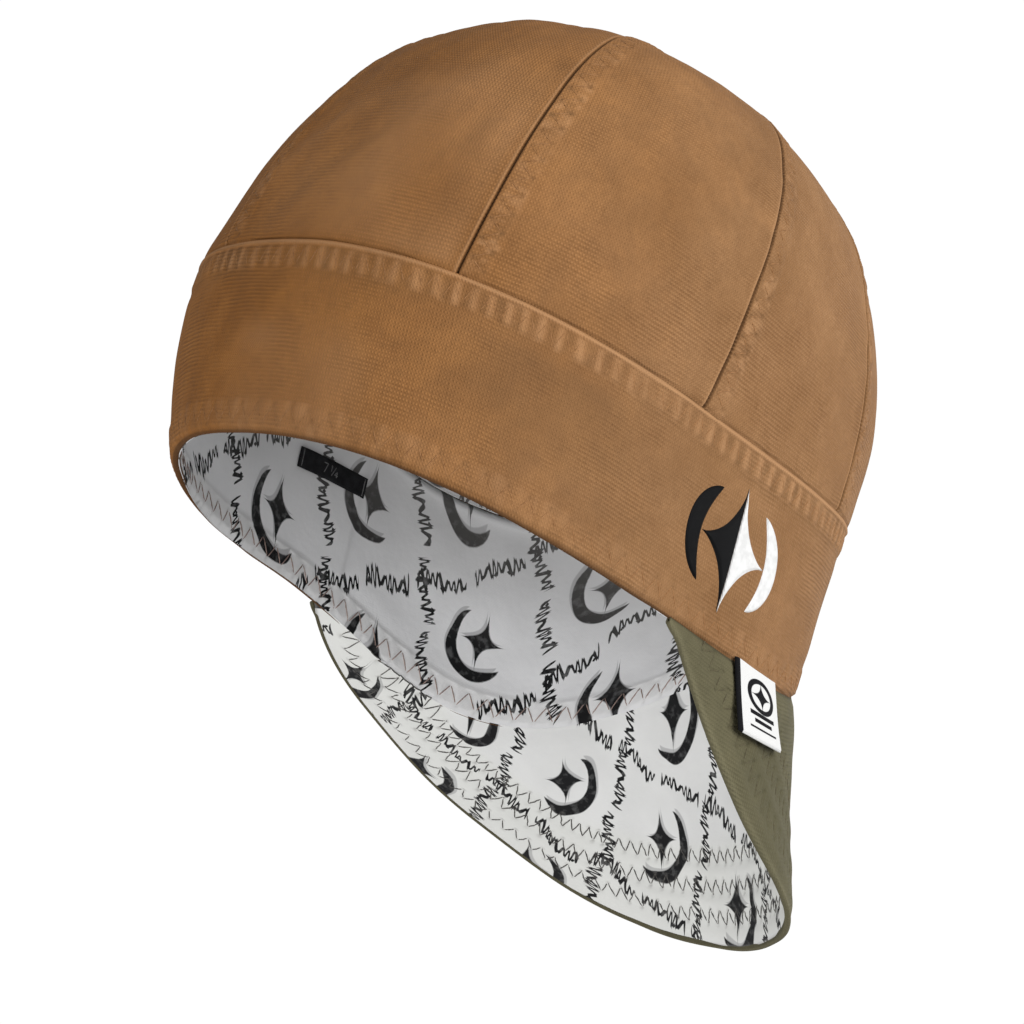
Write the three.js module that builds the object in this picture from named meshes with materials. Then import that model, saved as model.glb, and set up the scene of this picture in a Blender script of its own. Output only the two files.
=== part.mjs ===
// A soft fitted work cap with a short bill: gored crown, head band, linings, bill, woven labels.
// Millimetres, +Z up. The rim's middle plane is Z = 0, the bill points to -Y, the cap's own left and right are +X and -X.
// Azimuths are in degrees from the bill's direction (-Y), positive toward +X.
import * as THREE from "three";

// ---- driving dimensions ----
const DUCK = 1.2; // wall of the tan and olive duck
const LINING = 1.0; // wall of the white lining
const GAP = 0.3; // clearance between neighbouring pieces
const LOOSE = 0.9; // the crown lining hangs this far inside the crown
const CROWN_TOP = 168.1; // height of the crown's middle over the rim plane
const SEAM_HEIGHT = 55.7; // mean height of the crown/band seam
const SEAM_CENTRE = { x: 0.42, y: 8.9 }; // middle of the seam's oval
const APEX = { x: 6.9, y: -6.3 }; // where the gores meet, seen from above
const APEX_HOLE = 1.6; // radius left open where the eight points meet
const CROWN_DRIFT = { x: -6.3, y: -2.4 }; // sideways sag of the crown half way up
const CROWN_SHAPE = { side: 2.3, top: 2.21, belly: 0.049, shoulder: -0.023, cap: 0.003 };
const SEAM_INSET = 0.5; // the band tucks this far under the crown's folded edge

// Where the crown's seams run, one row per seam, azimuth in degrees.
const CROWN_SEAMS = [-144.9, -97.3, -51.5, -7.9, 35.6, 79.2, 122.7, 166.3];

// One row per station round the head: the lower edge (rim) and the crown/band seam.
// rimR is from the origin, seamR from the seam's own centre.
const STATIONS = [
  { az: 0, rimR: 97.2, rimZ: 15.2, seamR: 104.9, seamZ: 67.5 },
  { az: 15, rimR: 100.1, rimZ: 4.8, seamR: 104.2, seamZ: 64.5 },
  { az: 30, rimR: 101.4, rimZ: -6.2, seamR: 102.3, seamZ: 59.0 },
  { az: 45, rimR: 98.5, rimZ: -10.3, seamR: 98.6, seamZ: 54.2 },
  { az: 60, rimR: 93.4, rimZ: -6.9, seamR: 94.2, seamZ: 52.9 },
  { az: 75, rimR: 89.1, rimZ: -1.4, seamR: 91.1, seamZ: 55.3 },
  { az: 90, rimR: 86.8, rimZ: 1.2, seamR: 90.2, seamZ: 59.0 },
  { az: 105, rimR: 86.8, rimZ: 0.7, seamR: 92.2, seamZ: 61.3 },
  { az: 120, rimR: 88.6, rimZ: -0.2, seamR: 95.9, seamZ: 60.8 },
  { az: 135, rimR: 92.1, rimZ: 0.0, seamR: 99.9, seamZ: 58.3 },
  { az: 150, rimR: 96.5, rimZ: 0.7, seamR: 102.8, seamZ: 55.5 },
  { az: 165, rimR: 99.4, rimZ: 0.7, seamR: 103.6, seamZ: 53.6 },
  { az: 180, rimR: 100.5, rimZ: -0.1, seamR: 103.4, seamZ: 52.4 },
  { az: 195, rimR: 102.2, rimZ: -1.1, seamR: 105.0, seamZ: 51.1 },
  { az: 210, rimR: 101.9, rimZ: -2.5, seamR: 104.9, seamZ: 49.6 },
  { az: 225, rimR: 98.3, rimZ: -4.1, seamR: 101.4, seamZ: 48.4 },
  { az: 240, rimR: 92.3, rimZ: -5.2, seamR: 95.7, seamZ: 47.9 },
  { az: 255, rimR: 86.4, rimZ: -5.2, seamR: 90.3, seamZ: 48.3 },
  { az: 270, rimR: 83.7, rimZ: -4.8, seamR: 87.6, seamZ: 49.1 },
  { az: 285, rimR: 86.3, rimZ: -4.6, seamR: 89.4, seamZ: 50.4 },
  { az: 300, rimR: 91.9, rimZ: -2.9, seamR: 94.5, seamZ: 52.6 },
  { az: 315, rimR: 96.7, rimZ: 2.8, seamR: 100.8, seamZ: 56.6 },
  { az: 330, rimR: 98.4, rimZ: 11.6, seamR: 105.4, seamZ: 61.9 },
  { az: 345, rimR: 97.5, rimZ: 17.7, seamR: 106.4, seamZ: 66.3 },
];

// Fullness of the crown half way up, round the head: the soft crown leans out where this is positive.
const FULLNESS = [
  { az: 0, full: 0.04 },
  { az: 45, full: 0.103 },
  { az: 90, full: -0.075 },
  { az: 135, full: -0.062 },
  { az: 180, full: 0.052 },
  { az: 225, full: 0.053 },
  { az: 270, full: -0.017 },
  { az: 315, full: -0.093 },
];

// Where the band swells outward between its two edges, most at the back left.
const BAND_BOW = { az: 146, spread: 30, most: 3.4 }; // degrees, degrees, millimetres

// The bill, one row per section across it from the cap's right end to its left end.
// out is the cloth's length past the rim, droop its angle below level, crown how far it bows up.
const BILL_MIDDLE = -4.0,
  BILL_HALF = 88.0; // degrees of azimuth
const BILL = [
  { at: -1, out: 0, droop: 91.0, crown: 0.4 },
  { at: -0.75, out: 26.5, droop: 86.0, crown: 0.6 },
  { at: -0.5, out: 51.0, droop: 78.5, crown: 0.9 },
  { at: -0.25, out: 73.5, droop: 68.8, crown: 1.0 },
  { at: 0, out: 83.9, droop: 55.6, crown: 1.0 },
  { at: 0.25, out: 76.2, droop: 39.2, crown: 1.0 },
  { at: 0.5, out: 54.5, droop: 23.0, crown: 0.9 },
  { at: 0.75, out: 28.7, droop: 14.8, crown: 0.6 },
  { at: 1, out: 0, droop: 24.9, crown: 0.4 },
];

// Woven labels, each bent to the cloth it lies on. rise is the size label's middle as a share of the band's height.
const SIZE_LABEL = { az: 87, span: 19, rise: 0.67, height: 6.5, tilt: -0.0062, thick: 0.6, clear: 0.5 };
const SIDE_TAG = { az: -65.2, span: 14, drop: 17.8, lean: 4.6, thick: 0.8, clear: 0.5 };

// Mesh fineness: steps per gore, round the head, up the crown and the band, along and out the bill.
const FINE = { gore: 7, round: 64, crown: 12, lining: 12, band: 3, bill: 34, out: 6 };

// ---- small helpers ----
const rad = (d) => (d * Math.PI) / 180;
const V = (x, y, z) => new THREE.Vector3(x, y, z);
const mix = (a, b, t) => a + (b - a) * t;

// Smooth value of a column round a closed table whose rows stand at equal azimuths.
function around(rows, column, az) {
  const n = rows.length,
    step = 360 / n,
    s = ((((az % 360) + 360) % 360) / step) % n,
    i = Math.floor(s),
    t = s - i;
  const at = (k) => rows[(i + k + n) % n][column];
  const [a, b, c, d] = [at(-1), at(0), at(1), at(2)];
  return b + 0.5 * t * (c - a + t * (2 * a - 5 * b + 4 * c - d + t * (3 * (b - c) + d - a)));
}

// Smooth value of a column along an open table whose rows stand at equal steps of "at" from -1 to 1.
function along(rows, column, v) {
  const n = rows.length - 1,
    s = Math.min(n - 1e-9, Math.max(0, ((v + 1) / 2) * n)),
    i = Math.floor(s),
    t = s - i;
  const get = (k) => rows[Math.min(n, Math.max(0, k))][column];
  const a = i > 0 ? get(i - 1) : 2 * get(0) - get(1),
    b = get(i),
    c = get(i + 1),
    d = i < n - 1 ? get(i + 2) : 2 * get(n) - get(n - 1);
  return b + 0.5 * t * (c - a + t * (2 * a - 5 * b + 4 * c - d + t * (3 * (b - c) + d - a)));
}

// ---- surfaces ----
function rimPoint(az) {
  const r = around(STATIONS, "rimR", az),
    a = rad(az);
  return V(r * Math.sin(a), -r * Math.cos(a), around(STATIONS, "rimZ", az));
}
function seamPoint(az, inset = 0) {
  const r = around(STATIONS, "seamR", az) - inset,
    a = rad(az);
  return V(SEAM_CENTRE.x + r * Math.sin(a), SEAM_CENTRE.y - r * Math.cos(a), around(STATIONS, "seamZ", az));
}
// Crown's outer face: u is 0 on the seam and 1 at the top.
function crownPoint(az, u) {
  const s = seamPoint(az),
    th = (u * Math.PI) / 2,
    full = around(FULLNESS, "full", az);
  const w =
    Math.pow(Math.max(0, Math.cos(th)), 2 / CROWN_SHAPE.side) *
    (1 +
      (CROWN_SHAPE.belly + full) * Math.sin(Math.PI * u) +
      CROWN_SHAPE.shoulder * Math.sin(2 * Math.PI * u) +
      CROWN_SHAPE.cap * Math.sin(3 * Math.PI * u));
  const up = Math.pow(Math.sin(th), 2 / CROWN_SHAPE.top),
    bow = 4 * u * (1 - u);
  const cx = mix(SEAM_CENTRE.x, APEX.x, u * u) + CROWN_DRIFT.x * bow,
    cy = mix(SEAM_CENTRE.y, APEX.y, u * u) + CROWN_DRIFT.y * bow;
  return V(cx + (s.x - SEAM_CENTRE.x) * w, cy + (s.y - SEAM_CENTRE.y) * w, mix(s.z, CROWN_TOP, up));
}
// Band's outer face: k is 0 on the rim and 1 on the seam.
function bandPoint(az, k) {
  const a = rad(az),
    far = ((((az - BAND_BOW.az + 180) % 360) + 360) % 360) - 180,
    bow = BAND_BOW.most * Math.exp(-Math.pow(far / BAND_BOW.spread, 2)) * 4 * k * (1 - k);
  return rimPoint(az).lerp(seamPoint(az, SEAM_INSET), k).add(V(bow * Math.sin(a), -bow * Math.cos(a), 0));
}
// Bill's top face: v runs across it, w from the rim outward.
function billPoint(v, w) {
  const az = BILL_MIDDLE + BILL_HALF * v,
    a = rad(az),
    start = rimPoint(az);
  const out = Math.max(0, along(BILL, "out", v)),
    droop = rad(along(BILL, "droop", v)),
    bow = along(BILL, "crown", v) * 4 * w * (1 - w);
  const n = V(Math.sin(a), -Math.cos(a), 0),
    z = V(0, 0, 1);
  const dir = n.clone().multiplyScalar(Math.cos(droop)).addScaledVector(z, -Math.sin(droop)),
    up = n.clone().multiplyScalar(Math.sin(droop)).addScaledVector(z, Math.cos(droop));
  return start.addScaledVector(dir, BILL_ROOT + out * w).addScaledVector(up, bow);
}
const BILL_ROOT = 0.5; // the bill starts this far past the band's edge

// Outward unit normal of a surface function at (s, t), from small steps.
function normalOf(surface, s, t, ds, dt, outward) {
  const a = surface(s - ds, t),
    b = surface(s + ds, t),
    c = surface(s, Math.max(0, t - dt)),
    d = surface(s, Math.min(1, t + dt));
  const n = b.sub(a).cross(d.sub(c)).normalize();
  return n.dot(outward(s, t)) < 0 ? n.negate() : n;
}

// ---- closed walls ----
// A wall over a grid: face(i, j, side) gives a corner, side 0 outside and 1 inside; closed joins the last column to the first.
function wall(columns, rows, face, closed) {
  const position = [],
    index = [];
  const width = closed ? columns : columns + 1,
    id = (i, j, s) => (s * (rows + 1) + j) * width + (closed ? i % columns : i);
  for (const s of [0, 1])
    for (let j = 0; j <= rows; j++)
      for (let i = 0; i < width; i++) {
        const p = face(i, j, s);
        position.push(p.x, p.y, p.z);
      }
  const quad = (a, b, c, d) => index.push(a, b, c, a, c, d);
  for (let j = 0; j < rows; j++)
    for (let i = 0; i < columns; i++) {
      quad(id(i, j, 0), id(i + 1, j, 0), id(i + 1, j + 1, 0), id(i, j + 1, 0));
      quad(id(i, j, 1), id(i, j + 1, 1), id(i + 1, j + 1, 1), id(i + 1, j, 1));
    }
  for (let i = 0; i < columns; i++) {
    quad(id(i, 0, 1), id(i + 1, 0, 1), id(i + 1, 0, 0), id(i, 0, 0));
    quad(id(i, rows, 0), id(i + 1, rows, 0), id(i + 1, rows, 1), id(i, rows, 1));
  }
  if (!closed)
    for (let j = 0; j < rows; j++) {
      quad(id(0, j, 1), id(0, j, 0), id(0, j + 1, 0), id(0, j + 1, 1));
      quad(id(columns, j, 0), id(columns, j, 1), id(columns, j + 1, 1), id(columns, j + 1, 0));
    }
  return solid(position, index);
}
// Turns the faces round when they look inward.
function solid(position, index) {
  let volume = 0;
  const p = (i) => V(position[3 * i], position[3 * i + 1], position[3 * i + 2]);
  for (let i = 0; i < index.length; i += 3) volume += p(index[i]).dot(p(index[i + 1]).cross(p(index[i + 2])));
  if (volume < 0) for (let i = 0; i < index.length; i += 3) [index[i + 1], index[i + 2]] = [index[i + 2], index[i + 1]];
  const g = new THREE.BufferGeometry();
  g.setAttribute("position", new THREE.BufferAttribute(new Float32Array(position), 3));
  g.setIndex(index);
  g.computeVertexNormals();
  return g;
}

const outOfHead = (az) => V(Math.sin(rad(az)), -Math.cos(rad(az)), 0.35);
const upOfCrown = (az, u) => V(Math.sin(rad(az)) * (1 - u), -Math.cos(rad(az)) * (1 - u), 0.2 + u);

// Largest u at which the crown is still the given distance from its middle axis.
const LAST_U = (() => {
  let u = 0.9;
  const middle = (t) => V(mix(SEAM_CENTRE.x, APEX.x, t * t) + CROWN_DRIFT.x * 4 * t * (1 - t), mix(SEAM_CENTRE.y, APEX.y, t * t) + CROWN_DRIFT.y * 4 * t * (1 - t), 0);
  for (; u < 0.9999; u += 0.0001) {
    const p = crownPoint(0, u),
      m = middle(u);
    if (Math.hypot(p.x - m.x, p.y - m.y) < APEX_HOLE) break;
  }
  return u;
})();

function crownWallPoint(az, u, depth) {
  const n = normalOf(crownPoint, az, u, 0.5, 0.004, upOfCrown);
  return crownPoint(az, u).addScaledVector(n, -depth);
}
function bandWallPoint(az, k, depth) {
  const n = normalOf(bandPoint, az, k, 0.5, 0.02, outOfHead);
  n.z = 0;
  return bandPoint(az, k).addScaledVector(n.normalize(), -depth);
}
// Steps up the crown, closer together near the top where it turns over.
const upSteps = (n, from, to) => (j) => mix(from, to, Math.pow(j / n, 0.9));

const LIFT = 0.0006; // share of the crown's rise that clears the band's top edge

// One gore of the crown between two seams.
function goreGeometry(from, to) {
  const step = upSteps(FINE.crown, LIFT, LAST_U);
  return wall(
    FINE.gore,
    FINE.crown,
    (i, j, s) => {
      const u = step(j),
        here = crownPoint((from + to) / 2, u),
        reach = Math.max(APEX_HOLE, Math.hypot(here.x - mix(SEAM_CENTRE.x, APEX.x, u * u), here.y - mix(SEAM_CENTRE.y, APEX.y, u * u)));
      const trim = Math.min((to - from) * 0.3, ((GAP / 2 + s * 0.15) / reach) * (180 / Math.PI));
      return crownWallPoint(mix(from + trim, to - trim, i / FINE.gore), u, s * DUCK);
    },
    false,
  );
}

// Lining of the crown, closed at the top.
function crownLiningGeometry() {
  const rows = FINE.lining,
    n = 56,
    outer = DUCK + LOOSE,
    inner = DUCK + LOOSE + LINING;
  const step = upSteps(rows, 0.004, 0.965),
    position = [],
    index = [];
  const id = (i, j, s) => (s * (rows + 1) + j) * n + (i % n);
  for (const depth of [outer, inner])
    for (let j = 0; j <= rows; j++)
      for (let i = 0; i < n; i++) {
        const p = crownWallPoint((360 * i) / n, step(j), depth);
        position.push(p.x, p.y, p.z);
      }
  const top = position.length / 3;
  for (const depth of [outer, inner]) position.push(APEX.x, APEX.y, CROWN_TOP - depth);
  for (let j = 0; j < rows; j++)
    for (let i = 0; i < n; i++) {
      index.push(id(i, j, 0), id(i + 1, j, 0), id(i + 1, j + 1, 0), id(i, j, 0), id(i + 1, j + 1, 0), id(i, j + 1, 0));
      index.push(id(i, j, 1), id(i + 1, j + 1, 1), id(i + 1, j, 1), id(i, j, 1), id(i, j + 1, 1), id(i + 1, j + 1, 1));
    }
  for (let i = 0; i < n; i++) {
    index.push(id(i, 0, 1), id(i + 1, 0, 1), id(i + 1, 0, 0), id(i, 0, 1), id(i + 1, 0, 0), id(i, 0, 0));
    index.push(id(i, rows, 0), id(i + 1, rows, 0), top);
    index.push(id(i + 1, rows, 1), id(i, rows, 1), top + 1);
  }
  return solid(position, index);
}

// Band and its lining: a closed ring of cloth from the rim to just under the seam.
function ringGeometry(depth, thick, top) {
  return wall(FINE.round, FINE.band, (i, j, s) => bandWallPoint((360 * i) / FINE.round, mix(0, top, j / FINE.band), depth + s * thick), true);
}

// Normal of the bill's top face.
function billNormal(v, w) {
  return normalOf(billPoint, v, w, 0.01, 0.02, (a) => {
    const d = rad(along(BILL, "droop", a)),
      az = rad(BILL_MIDDLE + BILL_HALF * a);
    return V(Math.sin(az) * Math.sin(d), -Math.cos(az) * Math.sin(d), Math.cos(d));
  });
}

// Bill cloth between two depths below its top face. The ends stop a little before the points.
function billGeometry(depth, thick) {
  const end = 0.955;
  return wall(
    FINE.bill,
    FINE.out,
    (i, j, s) => {
      const v = mix(-end, end, i / FINE.bill),
        w = j / FINE.out;
      const n = billNormal(v, w);
      return billPoint(v, w).addScaledVector(n, -(depth + s * thick));
    },
    false,
  );
}

// A woven label as a wall over a small grid of points with their outward normals.
function labelGeometry(columns, rows, place, thick) {
  return wall(
    columns,
    rows,
    (i, j, s) => {
      const { point, normal } = place(i / columns, j / rows);
      return point.addScaledVector(normal, s ? 0 : thick);
    },
    false,
  );
}
// Size label: inside the band lining, its long side along the band.
function sizeLabelPlace(a, b) {
  const az = SIZE_LABEL.az + SIZE_LABEL.span * (a - 0.5),
    tall = around(STATIONS, "seamZ", az) - around(STATIONS, "rimZ", az);
  const k = SIZE_LABEL.rise + SIZE_LABEL.tilt * (az - SIZE_LABEL.az) + ((b - 0.5) * SIZE_LABEL.height) / tall;
  return { point: bandWallPoint(az, k, DUCK + GAP + LINING + SIZE_LABEL.clear + SIZE_LABEL.thick), normal: normalOf(bandPoint, az, k, 0.5, 0.02, outOfHead) };
}
// Side tag: caught in the rim seam, hanging over the bill's top cloth.
function sideTagPlace(a, b) {
  const v = (SIDE_TAG.az + SIDE_TAG.span * (a - 0.5) + SIDE_TAG.lean * b - BILL_MIDDLE) / BILL_HALF,
    w = (0.4 + SIDE_TAG.drop * b) / along(BILL, "out", v);
  const n = billNormal(v, w);
  return { point: billPoint(v, w).addScaledVector(n, SIDE_TAG.clear), normal: n };
}

// ---- assembly ----
const part = new THREE.Group();
part.name = "welding_cap";
function add(name, geometry, colour) {
  const mesh = new THREE.Mesh(geometry, new THREE.MeshStandardMaterial({ color: colour, roughness: 0.9 }));
  mesh.name = name;
  part.add(mesh);
}
const TAN = 0xa87c4e,
  OLIVE = 0x6e674e,
  WHITE = 0xe4e4e4,
  BLACK = 0x151515;

CROWN_SEAMS.forEach((az, i) => {
  const next = CROWN_SEAMS[(i + 1) % CROWN_SEAMS.length] + (i + 1 === CROWN_SEAMS.length ? 360 : 0);
  add("crown_gore_" + (i + 1), goreGeometry(az, next), TAN);
});
add("crown_lining", crownLiningGeometry(), WHITE);
add("band", ringGeometry(0, DUCK, 0.996), TAN);
add("band_lining", ringGeometry(DUCK + GAP, LINING, 0.99), WHITE);
add("bill_top", billGeometry(0, DUCK), OLIVE);
add("bill_underside", billGeometry(DUCK + GAP, LINING), WHITE);

add("size_label", labelGeometry(6, 1, sizeLabelPlace, SIZE_LABEL.thick), BLACK);
add("side_tag", labelGeometry(5, 4, sideTagPlace, SIDE_TAG.thick), WHITE);

export default part;
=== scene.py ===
import math

import bpy
import numpy as np
from mathutils import Matrix, Vector


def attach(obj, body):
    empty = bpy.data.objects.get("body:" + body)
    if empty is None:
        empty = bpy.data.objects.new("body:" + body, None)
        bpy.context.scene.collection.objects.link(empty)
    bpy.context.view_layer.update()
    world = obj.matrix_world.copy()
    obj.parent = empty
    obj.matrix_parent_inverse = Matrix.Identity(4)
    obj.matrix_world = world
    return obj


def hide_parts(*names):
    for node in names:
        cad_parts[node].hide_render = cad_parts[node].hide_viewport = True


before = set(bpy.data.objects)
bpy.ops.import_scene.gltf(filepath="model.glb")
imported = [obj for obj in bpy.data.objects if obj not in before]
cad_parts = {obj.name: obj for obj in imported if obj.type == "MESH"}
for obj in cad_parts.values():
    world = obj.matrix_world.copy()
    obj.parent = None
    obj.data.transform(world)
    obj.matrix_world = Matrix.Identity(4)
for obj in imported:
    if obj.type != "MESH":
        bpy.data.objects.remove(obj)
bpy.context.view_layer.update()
MM = 0.001

# ---------------------------------------------------------------- camera
# Square 1024 frame, the photograph's angle: from behind the cap's right side and below the rim.
CAM_POS = (-0.696603, 0.569681, -0.263760)
CAM_RIGHT = (-0.677497, -0.648701, 0.346676)
CAM_UP = (0.009679, 0.463431, 0.886084)
CAM_BACK = (-0.735462, 0.603674, -0.307687)
CAM_LENS = 113.19


def make_camera():
    data = bpy.data.cameras.new("camera")
    data.sensor_fit = "HORIZONTAL"
    data.sensor_width = 36.0
    data.lens = CAM_LENS
    data.clip_start, data.clip_end = 0.01, 30.0
    cam = bpy.data.objects.new("camera", data)
    bpy.context.scene.collection.objects.link(cam)
    m = Matrix((CAM_RIGHT, CAM_UP, CAM_BACK)).transposed().to_4x4()
    m.translation = Vector(CAM_POS)
    cam.matrix_world = m
    bpy.context.scene.camera = cam
    return cam


camera = make_camera()

# ---------------------------------------------------------------- sizes, as in the CAD, millimetres and degrees
# Azimuths run from the bill's direction (-Y), positive toward +X.
CROWN_SEAMS = [-144.9, -97.3, -51.5, -7.9, 35.6, 79.2, 122.7, 166.3]
CROWN_TOP = 168.1
SEAM_CENTRE = (0.42, 8.9)
APEX = (6.9, -6.3)
DRIFT = (-6.3, -2.4)
SHAPE = {"side": 2.3, "top": 2.21, "belly": 0.049, "shoulder": -0.023, "cap": 0.003}
RIM_R = np.array([97.2, 100.1, 101.4, 98.5, 93.4, 89.1, 86.8, 86.8, 88.6, 92.1, 96.5, 99.4, 100.5, 102.2, 101.9, 98.3, 92.3, 86.4, 83.7, 86.3, 91.9, 96.7, 98.4, 97.5])
RIM_Z = np.array([15.2, 4.8, -6.2, -10.3, -6.9, -1.4, 1.2, 0.7, -0.2, 0.0, 0.7, 0.7, -0.1, -1.1, -2.5, -4.1, -5.2, -5.2, -4.8, -4.6, -2.9, 2.8, 11.6, 17.7])
SEAM_R = np.array([104.9, 104.2, 102.3, 98.6, 94.2, 91.1, 90.2, 92.2, 95.9, 99.9, 102.8, 103.6, 103.4, 105.0, 104.9, 101.4, 95.7, 90.3, 87.6, 89.4, 94.5, 100.8, 105.4, 106.4])
SEAM_Z = np.array([67.5, 64.5, 59.0, 54.2, 52.9, 55.3, 59.0, 61.3, 60.8, 58.3, 55.5, 53.6, 52.4, 51.1, 49.6, 48.4, 47.9, 48.3, 49.1, 50.4, 52.6, 56.6, 61.9, 66.3])
FULLNESS = np.array([0.04, 0.103, -0.075, -0.062, 0.052, 0.053, -0.017, -0.093])
BILL_MIDDLE, BILL_HALF = -4.0, 88.0
BILL_OUT = np.array([0.0, 26.5, 51.0, 73.5, 83.9, 76.2, 54.5, 28.7, 0.0])
BILL_DROOP = np.array([91.0, 86.0, 78.5, 68.8, 55.6, 39.2, 23.0, 14.8, 24.9])
BILL_BOW = np.array([0.4, 0.6, 0.9, 1.0, 1.0, 1.0, 0.9, 0.6, 0.4])


def around(col, az):
    n = len(col)
    s = np.mod(az, 360.0) / (360.0 / n)
    i = np.floor(s).astype(int)
    t = s - i
    a, b, c, d = (col[(i + k) % n] for k in (-1, 0, 1, 2))
    return b + 0.5 * t * (c - a + t * (2 * a - 5 * b + 4 * c - d + t * (3 * (b - c) + d - a)))


def along(col, v):
    n = len(col) - 1
    s = np.clip((np.asarray(v, float) + 1) / 2 * n, 0, n - 1e-9)
    i = np.floor(s).astype(int)
    t = s - i
    e = np.concatenate([[2 * col[0] - col[1]], col, [2 * col[-1] - col[-2]]])
    a, b, c, d = e[i], e[i + 1], e[i + 2], e[i + 3]
    return b + 0.5 * t * (c - a + t * (2 * a - 5 * b + 4 * c - d + t * (3 * (b - c) + d - a)))


def step(x, a, b):
    t = np.clip((x - a) / (b - a), 0, 1)
    return t * t * (3 - 2 * t)


BOW_AZ, BOW_SPREAD, BOW_MOST = 146.0, 30.0, 3.4


def band_bow(az, k):
    far = np.mod(az - BOW_AZ + 180, 360) - 180
    a = np.radians(az)
    bow = BOW_MOST * np.exp(-((far / BOW_SPREAD) ** 2)) * 4 * k * (1 - k)
    return np.stack([bow * np.sin(a), -bow * np.cos(a), 0 * bow], -1)


def rim_point(az):
    r, a = around(RIM_R, az), np.radians(az)
    return np.stack([r * np.sin(a), -r * np.cos(a), around(RIM_Z, az)], -1)


def seam_point(az, inset=0.0):
    r, a = around(SEAM_R, az) - inset, np.radians(az)
    return np.stack([SEAM_CENTRE[0] + r * np.sin(a), SEAM_CENTRE[1] - r * np.cos(a), around(SEAM_Z, az)], -1)


def crown_point(az, u):
    s, th = seam_point(az), u * np.pi / 2
    w = np.maximum(0, np.cos(th)) ** (2 / SHAPE["side"]) * (
        1 + (SHAPE["belly"] + around(FULLNESS, az)) * np.sin(np.pi * u) + SHAPE["shoulder"] * np.sin(2 * np.pi * u) + SHAPE["cap"] * np.sin(3 * np.pi * u)
    )
    up, bow = np.sin(th) ** (2 / SHAPE["top"]), 4 * u * (1 - u)
    cx = SEAM_CENTRE[0] + (APEX[0] - SEAM_CENTRE[0]) * u * u + DRIFT[0] * bow
    cy = SEAM_CENTRE[1] + (APEX[1] - SEAM_CENTRE[1]) * u * u + DRIFT[1] * bow
    return np.stack([cx + (s[..., 0] - SEAM_CENTRE[0]) * w, cy + (s[..., 1] - SEAM_CENTRE[1]) * w, s[..., 2] + (CROWN_TOP - s[..., 2]) * up], -1)


def bill_point(v, w):
    az = BILL_MIDDLE + BILL_HALF * v
    a, start = np.radians(az), rim_point(az)
    out, droop, bow = np.maximum(0, along(BILL_OUT, v)), np.radians(along(BILL_DROOP, v)), along(BILL_BOW, v) * 4 * w * (1 - w)
    n = np.stack([np.sin(a), -np.cos(a), 0 * a], -1)
    z = np.array([0, 0, 1.0])
    away = n * np.cos(droop)[..., None] - z * np.sin(droop)[..., None]
    up = n * np.sin(droop)[..., None] + z * np.cos(droop)[..., None]
    lip = 2.8 * np.exp(-(((v + 0.40) / 0.15) ** 2)) * step(w, 0.5, 1.0)
    return start + away * (0.5 + out * w)[..., None] + up * (bow + lip)[..., None]


# ---------------------------------------------------------------- helpers
def bump(x, centre, width):
    return np.exp(-(((x - centre) / width) ** 2))


def noise(p, scale, seed):
    """Smooth noise in -1..1 over points (…, 3), one cell every scale mm."""
    q = np.asarray(p, float) / scale + 1000.0
    i = np.floor(q).astype(np.int64)
    f = q - i
    f = f * f * (3 - 2 * f)

    def value(dx, dy, dz):
        h = (i[..., 0] + dx) * 73856093 ^ (i[..., 1] + dy) * 19349663 ^ (i[..., 2] + dz) * 83492791 ^ (seed * 2654435761)
        h = ((h ^ (h >> 13)) * 1274126177) & 0xFFFFFFFF
        h = ((h ^ (h >> 15)) * 2246822519) & 0xFFFFFFFF
        return ((h >> 8) & 0xFFFF) / 32767.5 - 1

    fx, fy, fz = f[..., 0], f[..., 1], f[..., 2]
    out = 0
    for dx in (0, 1):
        for dy in (0, 1):
            for dz in (0, 1):
                out = out + value(dx, dy, dz) * (fx if dx else 1 - fx) * (fy if dy else 1 - fy) * (fz if dz else 1 - fz)
    return out


def noise1(x, scale, seed):
    x = np.asarray(x, float)
    return noise(np.stack([x, 0 * x + 3.3, 0 * x + 7.7], -1), scale, seed)


def lengths(p, axis):
    d = np.linalg.norm(np.diff(p, axis=axis), axis=-1)
    return np.concatenate([np.zeros_like(np.take(d, [0], axis)), np.cumsum(d, axis)], axis)


def grid_normals(p, closed, outward):
    """Unit normals of a grid of points (rows, columns, 3)."""
    if closed:
        dc = np.roll(p, -1, 1) - np.roll(p, 1, 1)
    else:
        dc = np.gradient(p, axis=1)
    dr = np.gradient(p, axis=0)
    n = np.cross(dc, dr)
    n /= np.maximum(np.linalg.norm(n, axis=-1, keepdims=True), 1e-9)
    return -n if (n * outward).sum() < 0 else n


def spaced(total, zones, k=4):
    """Positions from 0 to total whose spacing follows zones [(from, to, step)], a multiple of k steps. Negative limits count from the end."""
    x = np.linspace(0, total, 4001)
    rate = np.full_like(x, 0.0)
    for a, b, s in zones:
        a, b = (a if a >= 0 else total + a), (b if b > 0 else total + b)
        rate[(x >= a) & (x <= b)] = 1 / s
    c = np.concatenate([[0], np.cumsum((rate[1:] + rate[:-1]) / 2 * np.diff(x))])
    n = max(k, int(math.ceil(c[-1] / k)) * k)
    return np.interp(np.linspace(0, c[-1], n + 1), c, x)


def triangle(x):
    f = x - np.floor(x)
    return 1 - np.abs(2 * f - 1)


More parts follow.
